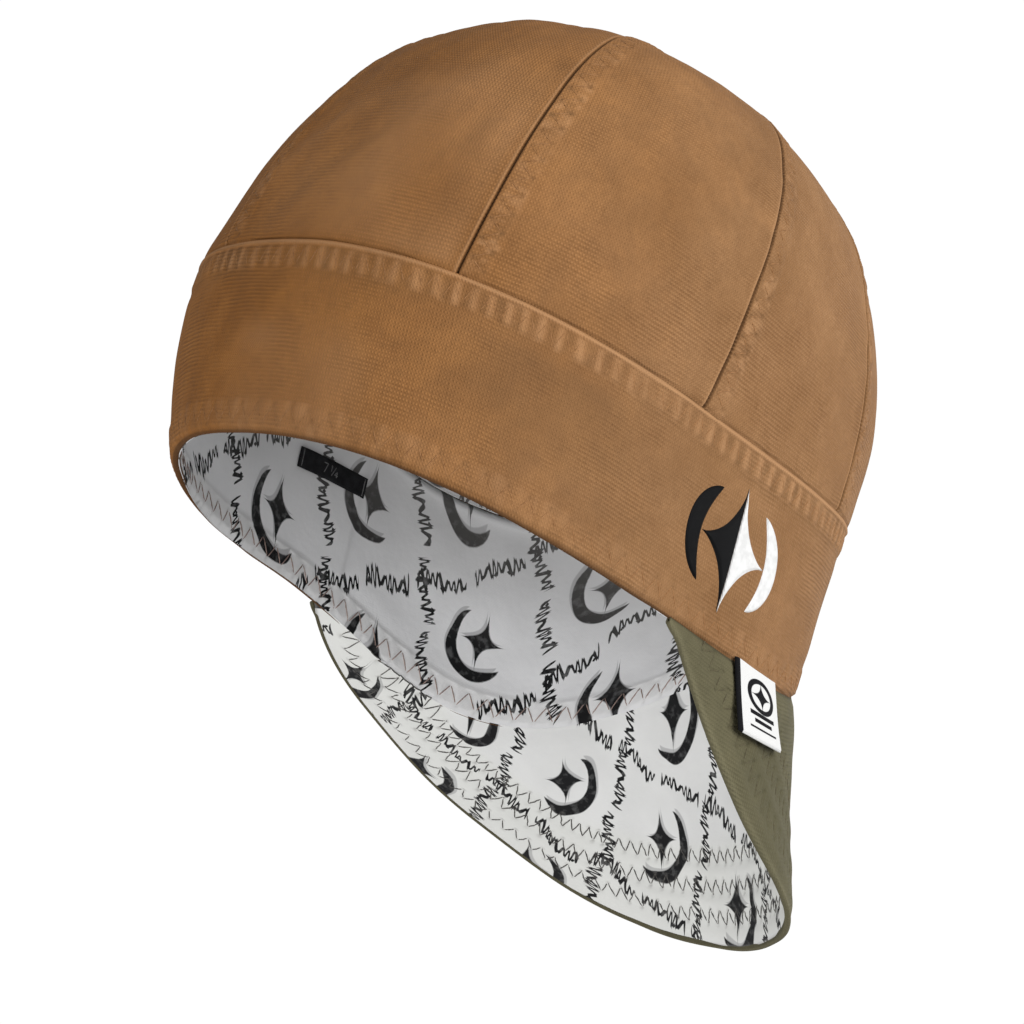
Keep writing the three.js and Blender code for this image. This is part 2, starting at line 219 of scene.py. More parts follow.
def zigzag_dent(s, e, pitch, lo, hi, depth=0.22, hole=0.34, width=0.45):
    """How far a zigzag row, running along s and across e from lo to hi, presses the cloth in."""
    z = lo + (hi - lo) * triangle(s / pitch)
    slope = (hi - lo) / (pitch / 2)
    d = np.abs(e - z) / math.sqrt(1 + slope * slope)
    k = np.round(s / (pitch / 2))
    r = np.hypot(s - k * pitch / 2, e - np.where(np.mod(k, 2) == 0, lo, hi))
    inside = step(e, lo - 0.7, lo) * (1 - step(e, hi, hi + 0.7))
    return -depth * np.exp(-((d / width) ** 2)) * inside - hole * np.exp(-((r / 0.6) ** 2))


def grid_at(p, r, c, closed):
    """Bilinear value of a grid at fractional row r and column c."""
    rows, cols = p.shape[:2]
    r = np.clip(r, 0, rows - 1.000001)
    c = np.mod(c, cols) if closed else np.clip(c, 0, cols - 1.000001)
    i, j = np.floor(r).astype(int), np.floor(c).astype(int)
    a, b = (r - i)[..., None], (c - j)[..., None]
    j1 = (j + 1) % cols
    return (p[i, j] * (1 - b) + p[i, j1] * b) * (1 - a) + (p[i + 1, j] * (1 - b) + p[i + 1, j1] * b) * a


COLLECTION = bpy.context.scene.collection


class Shells:
    """Collects closed cloth walls, each with a fine face and a plainer back, into one mesh."""

    def __init__(self):
        self.v, self.f, self.uv, self.tone = [], [], [], []
        self.n = 0

    def wall(self, fine, back, uv, tone, closed=False, k=4):
        rows, cols = fine.shape[0] - 1, (fine.shape[1] if closed else fine.shape[1] - 1)
        width = fine.shape[1]
        rc, cc = rows // k, cols // k
        assert rows % k == 0 and cols % k == 0, (rows, cols)
        bw = back.shape[1]
        base, bb = self.n, self.n + fine.shape[0] * width

        def fid(j, i):
            return base + j * width + (i % width if closed else i)

        def bid(j, i):
            return bb + j * bw + (i % bw if closed else i)

        faces, coords = [], []

        def put(ids, where):
            faces.append(ids)
            coords.append(where)

        for j in range(rows):
            for i in range(cols):
                put([fid(j, i), fid(j, i + 1), fid(j + 1, i + 1), fid(j + 1, i)], [(j, i), (j, i + 1), (j + 1, i + 1), (j + 1, i)])
        for j in range(rc):
            for i in range(cc):
                put([bid(j, i), bid(j + 1, i), bid(j + 1, i + 1), bid(j, i + 1)], [(j * k, i * k), (j * k + k, i * k), (j * k + k, i * k + k), (j * k, i * k + k)])
        for i in range(cc):
            up = list(range(i * k, i * k + k + 1))
            put([fid(0, x) for x in up[::-1]] + [bid(0, i), bid(0, i + 1)], [(0, x) for x in up[::-1]] + [(0, i * k), (0, i * k + k)])
            put([fid(rows, x) for x in up] + [bid(rc, i + 1), bid(rc, i)], [(rows, x) for x in up] + [(rows, i * k + k), (rows, i * k)])
        if not closed:
            for j in range(rc):
                up = list(range(j * k, j * k + k + 1))
                put([fid(x, 0) for x in up] + [bid(j + 1, 0), bid(j, 0)], [(x, 0) for x in up] + [(j * k + k, 0), (j * k, 0)])
                put([fid(x, cols) for x in up[::-1]] + [bid(j, cc), bid(j + 1, cc)], [(x, cols) for x in up[::-1]] + [(j * k, cols), (j * k + k, cols)])
        points = np.concatenate([fine.reshape(-1, 3), back.reshape(-1, 3)])
        local = points - points.mean(0)
        volume = 0.0
        for face in faces[:: max(1, len(faces) // 4000)]:
            a, b, c = (local[x - base] for x in face[:3])
            volume += float(a @ np.cross(b, c))
        whole = sum(float(local[f[0] - base] @ np.cross(local[f[m] - base], local[f[m + 1] - base])) for f in faces for m in range(1, len(f) - 1)) if len(faces) < 900 else None
        volume = volume if whole is None else whole
        self.faces_flip = None
        # the sign is taken from the whole shell
        tri = np.array([[f[0], f[m], f[m + 1]] for f in faces for m in range(1, len(f) - 1)]) - base
        a, b, c = local[tri[:, 0]], local[tri[:, 1]], local[tri[:, 2]]
        if float((a * np.cross(b, c)).sum()) < 0:
            faces = [f[::-1] for f in faces]
            coords = [w[::-1] for w in coords]
        self.v.append(points)
        self.f += faces
        flat = [w for ws in coords for w in ws]
        idx = np.array(flat)
        self.uv.append(uv[idx[:, 0], idx[:, 1]])
        backs = back_tone(tone, k, closed, bw)
        self.tone.append(np.concatenate([tone.reshape(-1, 3), backs]))
        self.n += len(points)

    def make(self, name, material, body="root", slot=None, replaces=()):
        me = bpy.data.meshes.new(name)
        v = np.concatenate(self.v) * MM
        me.from_pydata(v.tolist(), [], self.f)
        layer = me.uv_layers.new(name="cloth")
        layer.data.foreach_set("uv", np.concatenate(self.uv).astype(np.float32).ravel())
        tone = np.concatenate(self.tone)
        col = me.color_attributes.new("tone", "FLOAT_COLOR", "POINT")
        col.data.foreach_set("color", np.concatenate([tone, np.ones((len(tone), 1))], 1).astype(np.float32).ravel())
        me.polygons.foreach_set("use_smooth", np.ones(len(me.polygons), bool))
        me.set_sharp_from_angle(angle=math.radians(70))
        me.update()
        o = bpy.data.objects.new(name, me)
        COLLECTION.objects.link(o)
        me.materials.append(material)
        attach(o, body)
        if replaces:
            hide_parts(*replaces)
        return o


def back_tone(tone, k, closed, bw):
    rows = tone[::k]
    if closed:
        return rows[:, ::k][:, :bw].reshape(-1, 3)
    return rows[:, ::k].reshape(-1, 3)


class Threads:
    """Short stitches as thin tubes that dive into the cloth at both ends."""

    def __init__(self, radius, sides=5, parts=5):
        self.v, self.f, self.n = [], [], 0
        self.radius, self.sides, self.parts = radius, sides, parts

    def stitches(self, lines, normals):
        """lines (count, points, 3) and the cloth's normals there."""
        count, points = lines.shape[:2]
        t = np.gradient(lines, axis=1)
        t /= np.maximum(np.linalg.norm(t, axis=-1, keepdims=True), 1e-9)
        side = np.cross(t, normals)
        side /= np.maximum(np.linalg.norm(side, axis=-1, keepdims=True), 1e-9)
        up = np.cross(side, t)
        ang = np.arange(self.sides) * 2 * np.pi / self.sides
        ring = lines[:, :, None] + self.radius * (side[:, :, None] * np.cos(ang)[None, None, :, None] + up[:, :, None] * np.sin(ang)[None, None, :, None])
        s = self.sides
        for c in range(count):
            at = self.n + c * points * s
            for p in range(points - 1):
                for q in range(s):
                    a, b = at + p * s + q, at + p * s + (q + 1) % s
                    self.f.append([a, b, b + s, a + s])
            self.f.append([at + q for q in range(s)][::-1])
            self.f.append([at + (points - 1) * s + q for q in range(s)])
        self.v.append(ring.reshape(-1, 3))
        self.n += count * points * s

    def make(self, name, material, slot):
        me = bpy.data.meshes.new(name)
        me.from_pydata((np.concatenate(self.v) * MM).tolist(), [], self.f)
        me.polygons.foreach_set("use_smooth", np.ones(len(me.polygons), bool))
        me.update()
        o = bpy.data.objects.new(name, me)
        COLLECTION.objects.link(o)
        me.materials.append(material)
        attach(o, "root")
        return o


def zigzag_row(threads, place, start, end, pitch, lo, hi, seed, lift=0.16, sink=0.32, parts=6):
    """Sews a zigzag from start to end along a row; place(s, e) gives points and normals of the cloth."""
    k = np.arange(math.ceil(start / (pitch / 2)), math.floor(end / (pitch / 2)) + 1)
    s = k * pitch / 2
    e = np.where(np.mod(k, 2) == 0, lo, hi)
    rng = np.random.default_rng(seed)
    s = s + rng.normal(0, 0.07, len(s))
    e = e + rng.normal(0, 0.09, len(s))
    t = np.linspace(0, 1, parts)
    ss = s[:-1, None] * (1 - t) + s[1:, None] * t
    ee = e[:-1, None] * (1 - t) + e[1:, None] * t
    p, n = place(ss, ee)
    high = -sink + (sink + lift) * np.sin(np.pi * t) ** 0.45
    p = p + n * high[None, :, None]
    threads.stitches(p, n)


# ---------------------------------------------------------------- material nodes
class Nodes:
    """Small wrapper that builds a material's node tree."""

    def __init__(self, name):
        self.mat = bpy.data.materials.new(name)
        self.mat.use_nodes = True
        self.tree = self.mat.node_tree
        self.tree.nodes.clear()
        self.out = self.tree.nodes.new("ShaderNodeOutputMaterial")
        self.bsdf = self.tree.nodes.new("ShaderNodeBsdfPrincipled")
        self.tree.links.new(self.bsdf.outputs[0], self.out.inputs["Surface"])
        uv = self.tree.nodes.new("ShaderNodeUVMap")
        uv.uv_map = "cloth"
        sep = self.tree.nodes.new("ShaderNodeSeparateXYZ")
        self.link(uv.outputs[0], sep.inputs[0])
        self.uv, self.u, self.v = uv.outputs[0], sep.outputs[0], sep.outputs[1]

    def link(self, a, b):
        self.tree.links.new(a, b)

    def put(self, socket, value):
        if isinstance(value, (int, float, tuple, list)):
            socket.default_value = value
        else:
            self.link(value, socket)

    def math(self, op, a, b=None, c=None, clamp=False):
        n = self.tree.nodes.new("ShaderNodeMath")
        n.operation = op
        n.use_clamp = clamp
        for i, x in enumerate((a, b, c)):
            if x is not None:
                self.put(n.inputs[i], x)
        return n.outputs[0]

    def add(self, a, b): return self.math("ADD", a, b)
    def sub(self, a, b): return self.math("SUBTRACT", a, b)
    def mul(self, a, b): return self.math("MULTIPLY", a, b)
    def div(self, a, b): return self.math("DIVIDE", a, b)
    def abs(self, a): return self.math("ABSOLUTE", a)
    def frac(self, a): return self.math("FRACT", a)
    def lo(self, a, b): return self.math("MINIMUM", a, b)
    def hi(self, a, b): return self.math("MAXIMUM", a, b)

    def wave(self, x, length, phase=0.0):
        return self.math("SINE", self.add(self.mul(x, 2 * math.pi / length), phase))

    def under(self, x, edge, soft):
        """1 where x is under edge, with a soft border."""
        n = self.tree.nodes.new("ShaderNodeMapRange")
        n.interpolation_type = "SMOOTHSTEP"
        self.put(n.inputs[0], x)
        n.inputs[1].default_value = edge - soft
        n.inputs[2].default_value = edge + soft
        n.inputs[3].default_value = 1.0
        n.inputs[4].default_value = 0.0
        return n.outputs[0]

    def span(self, x, a, b, c, d):
        n = self.tree.nodes.new("ShaderNodeMapRange")
        self.put(n.inputs[0], x)
        for i, val in enumerate((a, b, c, d)):
            n.inputs[i + 1].default_value = val
        return n.outputs[0]

    def vec(self, x, y, z=0.0):
        n = self.tree.nodes.new("ShaderNodeCombineXYZ")
        for i, val in enumerate((x, y, z)):
            self.put(n.inputs[i], val)
        return n.outputs[0]

    def noise(self, vector, scale, detail=2.0, rough=0.5, distortion=0.0):
        n = self.tree.nodes.new("ShaderNodeTexNoise")
        self.put(n.inputs["Vector"], vector)
        n.inputs["Scale"].default_value = scale
        n.inputs["Detail"].default_value = detail
        n.inputs["Roughness"].default_value = rough
        n.inputs["Distortion"].default_value = distortion
        return n.outputs["Fac"]

    def object_mm(self):
        t = self.tree.nodes.new("ShaderNodeTexCoord")
        m = self.tree.nodes.new("ShaderNodeVectorMath")
        m.operation = "SCALE"
        self.link(t.outputs["Object"], m.inputs[0])
        m.inputs["Scale"].default_value = 1000.0
        return m.outputs[0]

    def mix(self, fac, a, b):
        n = self.tree.nodes.new("ShaderNodeMix")
        n.data_type = "RGBA"
        n.clamp_factor = True
        self.put(n.inputs[0], fac)
        for socket, x in ((n.inputs[6], a), (n.inputs[7], b)):
            self.put(socket, (*x, 1.0) if isinstance(x, tuple) and len(x) == 3 else x)
        return n.outputs[2]

    def tone(self):
        n = self.tree.nodes.new("ShaderNodeAttribute")
        n.attribute_name = "tone"
        s = self.tree.nodes.new("ShaderNodeSeparateColor")
        self.link(n.outputs["Color"], s.inputs[0])
        return s.outputs[0], s.outputs[1], s.outputs[2]

    def bump(self, height, distance_mm, strength=1.0, normal=None):
        n = self.tree.nodes.new("ShaderNodeBump")
        n.inputs["Strength"].default_value = strength
        n.inputs["Distance"].default_value = distance_mm * MM
        self.put(n.inputs["Height"], height)
        if normal is not None:
            self.link(normal, n.inputs["Normal"])
        return n.outputs[0]

    def finish(self, colour, rough, normal=None, sheen=0.0, sheen_rough=0.5, sheen_tint=None, specular=0.3):
        b = self.bsdf
        self.put(b.inputs["Base Color"], (*colour, 1.0) if isinstance(colour, tuple) and len(colour) == 3 else colour)
        self.put(b.inputs["Roughness"], rough)
        b.inputs["Specular IOR Level"].default_value = specular
        b.inputs["Sheen Weight"].default_value = sheen
        b.inputs["Sheen Roughness"].default_value = sheen_rough
        if sheen_tint:
            b.inputs["Sheen Tint"].default_value = (*sheen_tint, 1.0)
        if normal is not None:
            self.link(normal, b.inputs["Normal"])
        return self.mat


def duck(name, light, dark, deep, left_shade_light=None, left_shade_dark=None, rib=1.2, warp=0.95, sheen=0.06, contrast=0.72):
    """Ribbed cotton duck: weft ribs along U, finer warp along V, washed patches, worn ridges with a painted highlight,
    and grooves and stitch dents darkened by painted shade.

    left_shade_light and left_shade_dark are painted shade: a deeper, more saturated pair that takes over toward the
    back left, standing in for the look of the side away from the light."""
    g = Nodes(name)
    mm = g.object_mm()
    drift = g.mul(g.sub(g.noise(mm, 0.06, 2.0), 0.5), 7.0)
    slub = g.noise(g.vec(g.mul(g.u, 0.30), g.mul(g.v, 1.5)), 1.0, 2.0)
    fibre = g.noise(g.vec(g.mul(g.u, 1.4), g.mul(g.v, 0.25)), 1.0, 2.0)
    ribs = g.wave(g.v, rib, drift)
    warps = g.wave(g.u, warp, g.mul(drift, -0.7))
    clear = g.span(g.noise(mm, 0.04, 2.0, 0.6), 0.40, 0.60, 0.15, 1.0)
    weave = g.add(g.mul(ribs, g.mul(clear, 0.50)), g.mul(g.mul(ribs, warps), 0.42))
    weave = g.add(weave, g.mul(warps, 0.20))
    weave = g.add(weave, g.mul(g.add(g.sub(slub, 0.5), g.sub(fibre, 0.5)), 1.15))
    big = g.noise(mm, 0.022, 3.0, 0.55)
    mid = g.noise(mm, 0.085, 4.0, 0.6, 0.4)
    spots = g.noise(mm, 0.32, 3.0, 0.6)
    wear_and_highlight, painted_shade, stain_and_shade = g.tone()
    washed = g.span(g.add(g.mul(big, 0.55), g.mul(mid, 0.45)), 0.37, 0.63, 0.0, 1.0)
    colour = g.mix(washed, dark, light)
    # painted shade: toward the back left the colour turns to the deeper, more saturated pair
    if left_shade_light:
        sep = g.tree.nodes.new("ShaderNodeSeparateXYZ")
        g.link(mm, sep.inputs[0])
        side = g.add(g.add(g.mul(sep.outputs[0], 0.72), g.mul(sep.outputs[1], 0.69)), g.mul(g.sub(mid, 0.5), 70.0))
        colour = g.mix(g.span(side, -45.0, 85.0, 0.0, 1.0), colour, g.mix(washed, left_shade_dark, left_shade_light))
    colour = g.mix(g.span(spots, 0.5, 0.78, 0.0, 0.22), colour, tuple(0.72 * c for c in dark))
    colour = g.mix(g.mul(g.span(weave, -1.1, 0.9, contrast, 0.0), g.span(clear, 0.2, 1.0, 0.75, 1.0)), colour, deep)
    # tone attribute: worn places and painted highlight lighten, stains and painted shade darken, painted shade in
    # grooves darkens most
    colour = g.mix(g.mul(wear_and_highlight, 0.62), colour, tuple(min(1, 1.5 * c + 0.02) for c in light))
    colour = g.mix(g.mul(stain_and_shade, 0.8), colour, tuple(0.60 * c for c in dark))
    colour = g.mix(painted_shade, colour, tuple(0.42 * c for c in deep))
    normal = g.bump(weave, 0.2, 0.75)
    normal = g.bump(g.noise(mm, 1.3, 3.0), 0.25, 0.3, normal)
    return g.finish(colour, g.span(mid, 0.3, 0.7, 0.82, 0.95), normal, sheen=sheen, sheen_rough=0.55, sheen_tint=tuple(min(1, c * 1.6 + 0.1) for c in light), specular=0.16)


def printed(name, ground, ink, green=0.0, a=27.0, b=35.0, turn=0.33, shift=(0.0, 0.0)):
    """White cotton with a plain black print: scribbled ropes crossing as a diamond lattice, a bold star with one brushed arc in each diamond."""
    g = Nodes(name)
    mm = g.object_mm()
    wob = g.mul(g.sub(g.noise(g.vec(g.mul(g.u, 0.026), g.mul(g.v, 0.026)), 1.0, 2.0), 0.5), 16.0)
    cu, su = math.cos(turn), math.sin(turn)
    u0, v0 = g.add(g.u, shift[0]), g.add(g.v, shift[1])
    x = g.add(g.add(g.mul(u0, cu), g.mul(v0, -su)), wob)
    y = g.add(g.add(g.mul(u0, su), g.mul(v0, cu)), g.mul(wob, -0.6))
    long = math.hypot(a, b)
    s1 = g.add(g.mul(x, 0.5 / a), g.mul(y, 0.5 / b))
    s2 = g.sub(g.mul(x, 0.5 / a), g.mul(y, 0.5 / b))
    width = 2 * a * b / long
    inky = g.mul(g.sub(g.noise(g.vec(g.u, g.v), 0.8, 2.0), 0.5), 0.8)

    def rope(s, t, offset):
        d = g.add(g.mul(g.sub(g.frac(g.add(s, 0.5)), 0.5), width), g.mul(g.wave(t, 23.0), 1.3))
        k = 2 * math.pi / 2.55
        phase = g.add(g.mul(t, k), g.mul(g.wave(t, 8.3), 1.5))
        tall = g.add(1.35, g.mul(g.wave(t, 6.7, 0.7), 0.45))
        loop = g.sub(d, g.mul(tall, g.math("SINE", phase)))
        slope = g.mul(g.mul(tall, k), g.math("COSINE", phase))
        near = g.div(g.abs(loop), g.math("SQRT", g.add(1.0, g.mul(slope, slope))))
        body = g.under(g.add(near, g.mul(inky, 0.3)), 0.50, 0.12)
        dots = g.under(g.add(g.abs(g.sub(d, g.mul(tall, 0.9))), g.mul(g.abs(g.sub(g.frac(g.div(t, 5.1)), 0.5)), 5.1)), 0.75, 0.1)
        words = g.under(g.abs(g.sub(g.frac(g.add(g.div(t, long / 2), offset)), 0.5)), 0.43, 0.004)
        return g.mul(g.hi(body, dots), words)

    t1 = g.sub(g.mul(x, b / long), g.mul(y, a / long))
    t2 = g.add(g.mul(x, b / long), g.mul(y, a / long))
    net = g.hi(rope(s1, t1, 0.25), rope(s2, t2, 0.1))
    c1, c2 = g.sub(g.frac(s1), 0.5), g.sub(g.frac(s2), 0.5)
    lx, ly = g.mul(g.add(c1, c2), a), g.mul(g.sub(c1, c2), b)
    tilt = 0.42
    ct, st = math.cos(tilt), math.sin(tilt)

    def emblem(px, py):
        px, py = g.mul(px, 0.76), g.mul(py, 0.76)
        qx, qy = g.add(g.mul(px, ct), g.mul(py, st)), g.sub(g.mul(py, ct), g.mul(px, st))
        ax, ay = g.abs(qx), g.abs(qy)
        star = g.under(g.add(g.math("SQRT", g.div(ax, 6.0)), g.math("SQRT", g.div(ay, 9.0))), 1.0, 0.05)
        radius = g.math("SQRT", g.add(g.mul(qx, qx), g.mul(g.mul(qy, qy), 0.72)))
        turned = g.math("ARCTAN2", qy, qx)
        swell = g.hi(g.add(g.math("COSINE", g.add(turned, 2.5)), 0.10), 0.0)
        arcs = g.under(g.sub(g.abs(g.sub(radius, 8.2)), g.mul(g.math("SQRT", swell), 1.75)), -0.30, 0.16)
        return g.hi(star, arcs)

    mark = emblem(g.add(lx, g.mul(inky, 0.4)), ly)
    shade = emblem(g.add(lx, 1.2), g.add(ly, -0.55))
    fine = g.mul(g.mul(g.wave(g.u, 0.62), g.wave(g.v, 0.62)), 0.5)
    cloudy = g.noise(mm, 0.05, 3.0)
    wear_and_highlight, painted_shade, stain_and_shade = g.tone()
    colour = g.mix(g.span(cloudy, 0.35, 0.65, 0.0, 1.0), tuple(c * 0.93 for c in ground), ground)
    colour = g.mix(g.mul(stain_and_shade, 0.5 if green else 0.4), colour, (ground[0] * 0.93, ground[1] * (0.94 if green else 0.91), ground[2] * (0.86 if green else 0.86)))
    colour = g.mix(g.mul(shade, 0.45), colour, (0.20, 0.20, 0.21))
    colour = g.mix(g.mul(g.hi(mark, net), g.span(g.noise(g.vec(g.u, g.v), 0.35, 3.0), 0.3, 0.5, 0.86, 1.0)), colour, ink)
    # painted shade from the tone attribute: grooves, folds and the deep inside of the cap darkened
    colour = g.mix(painted_shade, colour, (0.22, 0.21, 0.20))
    normal = g.bump(fine, 0.05, 0.35)
    normal = g.bump(g.noise(mm, 0.5, 3.0), 0.4, 0.25, normal)
    return g.finish(colour, 0.9, normal, sheen=0.03, sheen_rough=0.5, specular=0.12)


def thread(name, light, dark):
    g = Nodes(name)
    mm = g.object_mm()
    colour = g.mix(g.span(g.noise(mm, 1.2, 2.0), 0.35, 0.65, 0.0, 1.0), light, dark)
    normal = g.bump(g.noise(mm, 4.0, 2.0), 0.08, 0.5)
    return g.finish(colour, 0.75, normal, sheen=0.05, specular=0.2)


TAN = duck("tan_duck", (0.303, 0.163, 0.074), (0.222, 0.112, 0.045), (0.105, 0.042, 0.012), (0.345, 0.146, 0.037), (0.245, 0.094, 0.018))
OLIVE = duck("olive_duck", (0.122, 0.110, 0.062), (0.088, 0.080, 0.044), (0.042, 0.037, 0.02), contrast=0.4)
LINING = printed("white_lining", (0.93, 0.93, 0.94), (0.012, 0.012, 0.013), shift=(6.0, 3.0))
# the same white print as the lining on a darker ground, a painted shade: the two whites differ only to match how each
# is lit
UNDER = printed("white_underside", (0.76, 0.76, 0.75), (0.012, 0.012, 0.013), green=1.0, shift=(21.0, 8.0))
TAN_THREAD = thread("tan_thread", (0.30, 0.15, 0.06), (0.20, 0.09, 0.03))
OLIVE_THREAD = thread("olive_thread", (0.10, 0.085, 0.045), (0.06, 0.05, 0.027))
PINK_THREAD = thread("pink_thread", (0.46, 0.34, 0.30), (0.30, 0.21, 0.18))
GREY_THREAD = thread("grey_thread", (0.13, 0.125, 0.115), (0.06, 0.056, 0.05))

# ---------------------------------------------------------------- crown
THREAD_CROWN = Threads(0.15)


def strip_relief(e, s, seed):
    """Relief of the cloth where both seam allowances lie under it, stitched down."""
    raised = 0.34 * step(e, 0.1, 0.8) * (1 - step(e, 6.2, 8.2))
    pucker = 0.17 * noise(np.stack([s * 1.0, e * 0.45, 0 * s], -1), 2.3, seed) * step(e, 0.6, 1.6) * (1 - step(e, 7.0, 10.5))
    return raised + pucker


# Soft folds that run up from the band at the back left: places as (azimuth, share of the crown's rise), width and height in mm.
CREASES = [
    (((173.8, 0.018), (178.2, 0.06), (182.5, 0.105), (187.8, 0.15), (195.0, 0.198), (203.0, 0.25)), 3.4, -0.60),
    (((167.5, 0.060), (170.8, 0.105), (173.8, 0.147), (181.0, 0.217), (188.5, 0.273), (196.0, 0.32)), 4.6, 0.62),
    (((194.0, 0.170), (198.5, 0.25), (202.0, 0.312), (205.8, 0.408), (208.0, 0.48)), 6.0, 0.50),
    (((204.0, 0.130), (207.0, 0.20), (210.0, 0.30), (211.5, 0.40)), 4.5, -0.40),
]


def creases(base):
    """Height in mm of the creases over a grid, and the shares of painted highlight on their ridges and painted shade in
    their hollows.
    """
    height, light, dark = 0.0, 0.0, 0.0
    for places, width, high in CREASES:
        t = np.linspace(0, 1, 60)
        places = np.array(places)
        share = np.linspace(0, 1, len(places))
        line = crown_point(np.interp(t, share, places[:, 0]), np.interp(t, share, places[:, 1]))
        d = np.linalg.norm(base[:, :, None] - line, axis=-1)
        near, where = d.min(-1), t[d.argmin(-1)]
        here = np.exp(-((near / width) ** 2)) * (0.4 + 0.6 * step(where, 0.0, 0.3)) * (1 - step(where, 0.55, 1.0))
        height = height + high * here
        light, dark = light + (high > 0) * here, dark + (high < 0) * here
    return height, light, dark


def make_gore(number, a0, a1):
    mid = (a0 + a1) / 2
    uu = np.linspace(0, 1, 3001)
    line = crown_point(np.full_like(uu, mid), uu)
    ll = lengths(line, 0)
    reach = ll[-1] - 0.3
    rows = spaced(reach, [(0, 3, 0.45), (3, 40, 0.8), (40, 2000, 0.85)])
    u = np.interp(rows, ll, uu)
    width0 = np.linalg.norm(np.diff(crown_point(np.linspace(a0, a1, 200), np.full(200, 0.05)), axis=0), axis=1).sum()
    cols = spaced(width0, [(0, 1.2, 0.16), (1.2, 9, 0.55), (9, -4, 1.5), (-4, -1.5, 0.7), (-1.5, 0, 0.16)])
    az = a0 + (a1 - a0) * cols / width0
    A, U = np.meshgrid(az, u)
    base = crown_point(A, U)
    outward = base - np.array([0, 0, 60.0])
    n = grid_normals(base, False, outward)
    e0 = lengths(base, 1)
    W = e0[:, -1:]
    e1 = W - e0
    s = np.broadcast_to(rows[:, None], e0.shape)
    keep = step(W, 4, 22)
    x0 = e0 * 1.0
    relief = strip_relief(x0, s, number) * keep
    relief = relief + zigzag_dent(s, x0, 6.0, 1.5, 6.2, 0.20, 0.34) * keep
    relief = relief - 1.0 * np.exp(-((e0 / 0.36) ** 2)) - 1.0 * np.exp(-((e1 / 0.33) ** 2))
    ridge = bump(e1, 0.85, 0.42)
    relief = relief + 0.12 * ridge * keep
    # the panel lies a little flatter than the dome between its seams
    relief = relief + 0.55 * (np.exp(-((e0 / 9) ** 2)) + np.exp(-((e1 / 9) ** 2))) - 0.25
    relief = relief + 0.75 * noise(base, 42, 11) * step(rows, 4, 30)[:, None] + 0.22 * noise(base, 15, 12) + 0.07 * noise(base, 6, 13)
    # short draglines that run off the stitched seam
    pull = noise(np.stack([s, e0 * 0.16, 0 * s], -1), 5.5, 40 + number)
    relief = relief + 0.16 * pull * np.exp(-((e0 - 7) / 9) ** 2) * (e0 > 6) * keep
    pull1 = noise(np.stack([s, e1 * 0.16, 0 * s], -1), 6.5, 60 + number)
    relief = relief + 0.14 * pull1 * np.exp(-(e1 / 8) ** 2) * keep
    # tucked behind the band's folded top edge
    relief = relief - 0.60 * np.exp(-((s / 0.9) ** 2)) + 0.12 * bump(s, 4.5, 3.5)
    # lengthwise drapes toward the back left
    drape = noise(np.stack([A * 1.15, s * 0.035, 0 * s], -1), 6.5, 91) + 0.5 * noise(np.stack([A * 1.15, s * 0.05, 0 * s], -1), 2.9, 92)
    relief = relief + 0.5 * drape * np.exp(-((np.mod(A - 172 + 180, 360) - 180) / 42) ** 2) * step(s, 8, 40) * step(W, 8, 30)
    folds, lighter, darker = creases(base) if number > 6 else (0.0, 0.0, 0.0)
    relief = relief + folds
    gather = noise(np.stack([e0 + 100 * number, s * 0.12, 0 * s], -1), 5.2, 77)
    relief = relief + 0.22 * gather * np.exp(-(s / 8.0) ** 2)
    fine = base + n * relief[..., None]
    back = (base - n * 1.0)[::4, ::4]
    uv = np.stack([e0 - W / 2, s], -1)
    inside = step(e0, 0.6, 1.4) * (1 - step(e0, 6.6, 8.4)) * keep
    fleck = noise(np.stack([s, e0 * 0.6, 0 * s], -1), 1.5, 95 + number)
    patch = 0.55 + 0.75 * noise(np.stack([s, 0 * s, 0 * s], -1), 11, 96 + number)
    # painted highlight on the seam's ridge, with lighter flecks on the stitched strip
    wear_and_highlight = np.clip(0.50 * ridge * keep + inside * (0.05 + 0.45 * np.clip(fleck, 0, 1)) * np.clip(patch + 0.3, 0, 1.2), 0, 1)
    # painted shade in the seam grooves and along the foot under the band's edge
    painted_shade = np.clip(np.exp(-((e0 / 0.42) ** 2)) + np.exp(-((e1 / 0.34) ** 2)), 0, 1) * 0.80
    painted_shade = np.maximum(painted_shade, 0.18 * np.exp(-((s / 0.7) ** 2)))
    # painted shade in the stitch dents, with darker flecks on the strip
    dents = zigzag_dent(s, x0, 6.0, 1.5, 6.2, 0.12, 0.8, 0.5) * keep
    stain_and_shade = np.clip(-dents * np.clip(patch + 0.35, 0.15, 1.3), 0, 0.8) + inside * 0.5 * np.clip(-fleck, 0, 1) * np.clip(patch, 0, 1)
    turn = np.mod(A, 360)
    paler = (0.6 * step(turn, 168, 180) + 0.4 * step(turn, 184, 200)) * (1 - step(turn, 212, 215)) * step(s, 0, 4) * (1 - step(s, 44, 78)) * (0.85 + 0.6 * noise(base, 24, 97))
    # painted highlight on the crease ridges and painted shade in their hollows; paler low at the back left
    wear_and_highlight, stain_and_shade = np.clip(wear_and_highlight + 0.12 * lighter + 0.32 * np.clip(paler, 0, 1.3), 0, 1), np.clip(stain_and_shade + 0.22 * darker, 0, 1)
    wear_and_highlight, painted_shade, stain_and_shade = (np.broadcast_to(q, e0.shape) for q in (wear_and_highlight, painted_shade, stain_and_shade))
    shells = Shells()
    shells.wall(fine, back, uv, np.stack([wear_and_highlight, painted_shade, stain_and_shade], -1))
    piece = shells.make(f"crown_panel_{number}", TAN, slot="tan_duck", replaces=[f"crown_gore_{number}"])

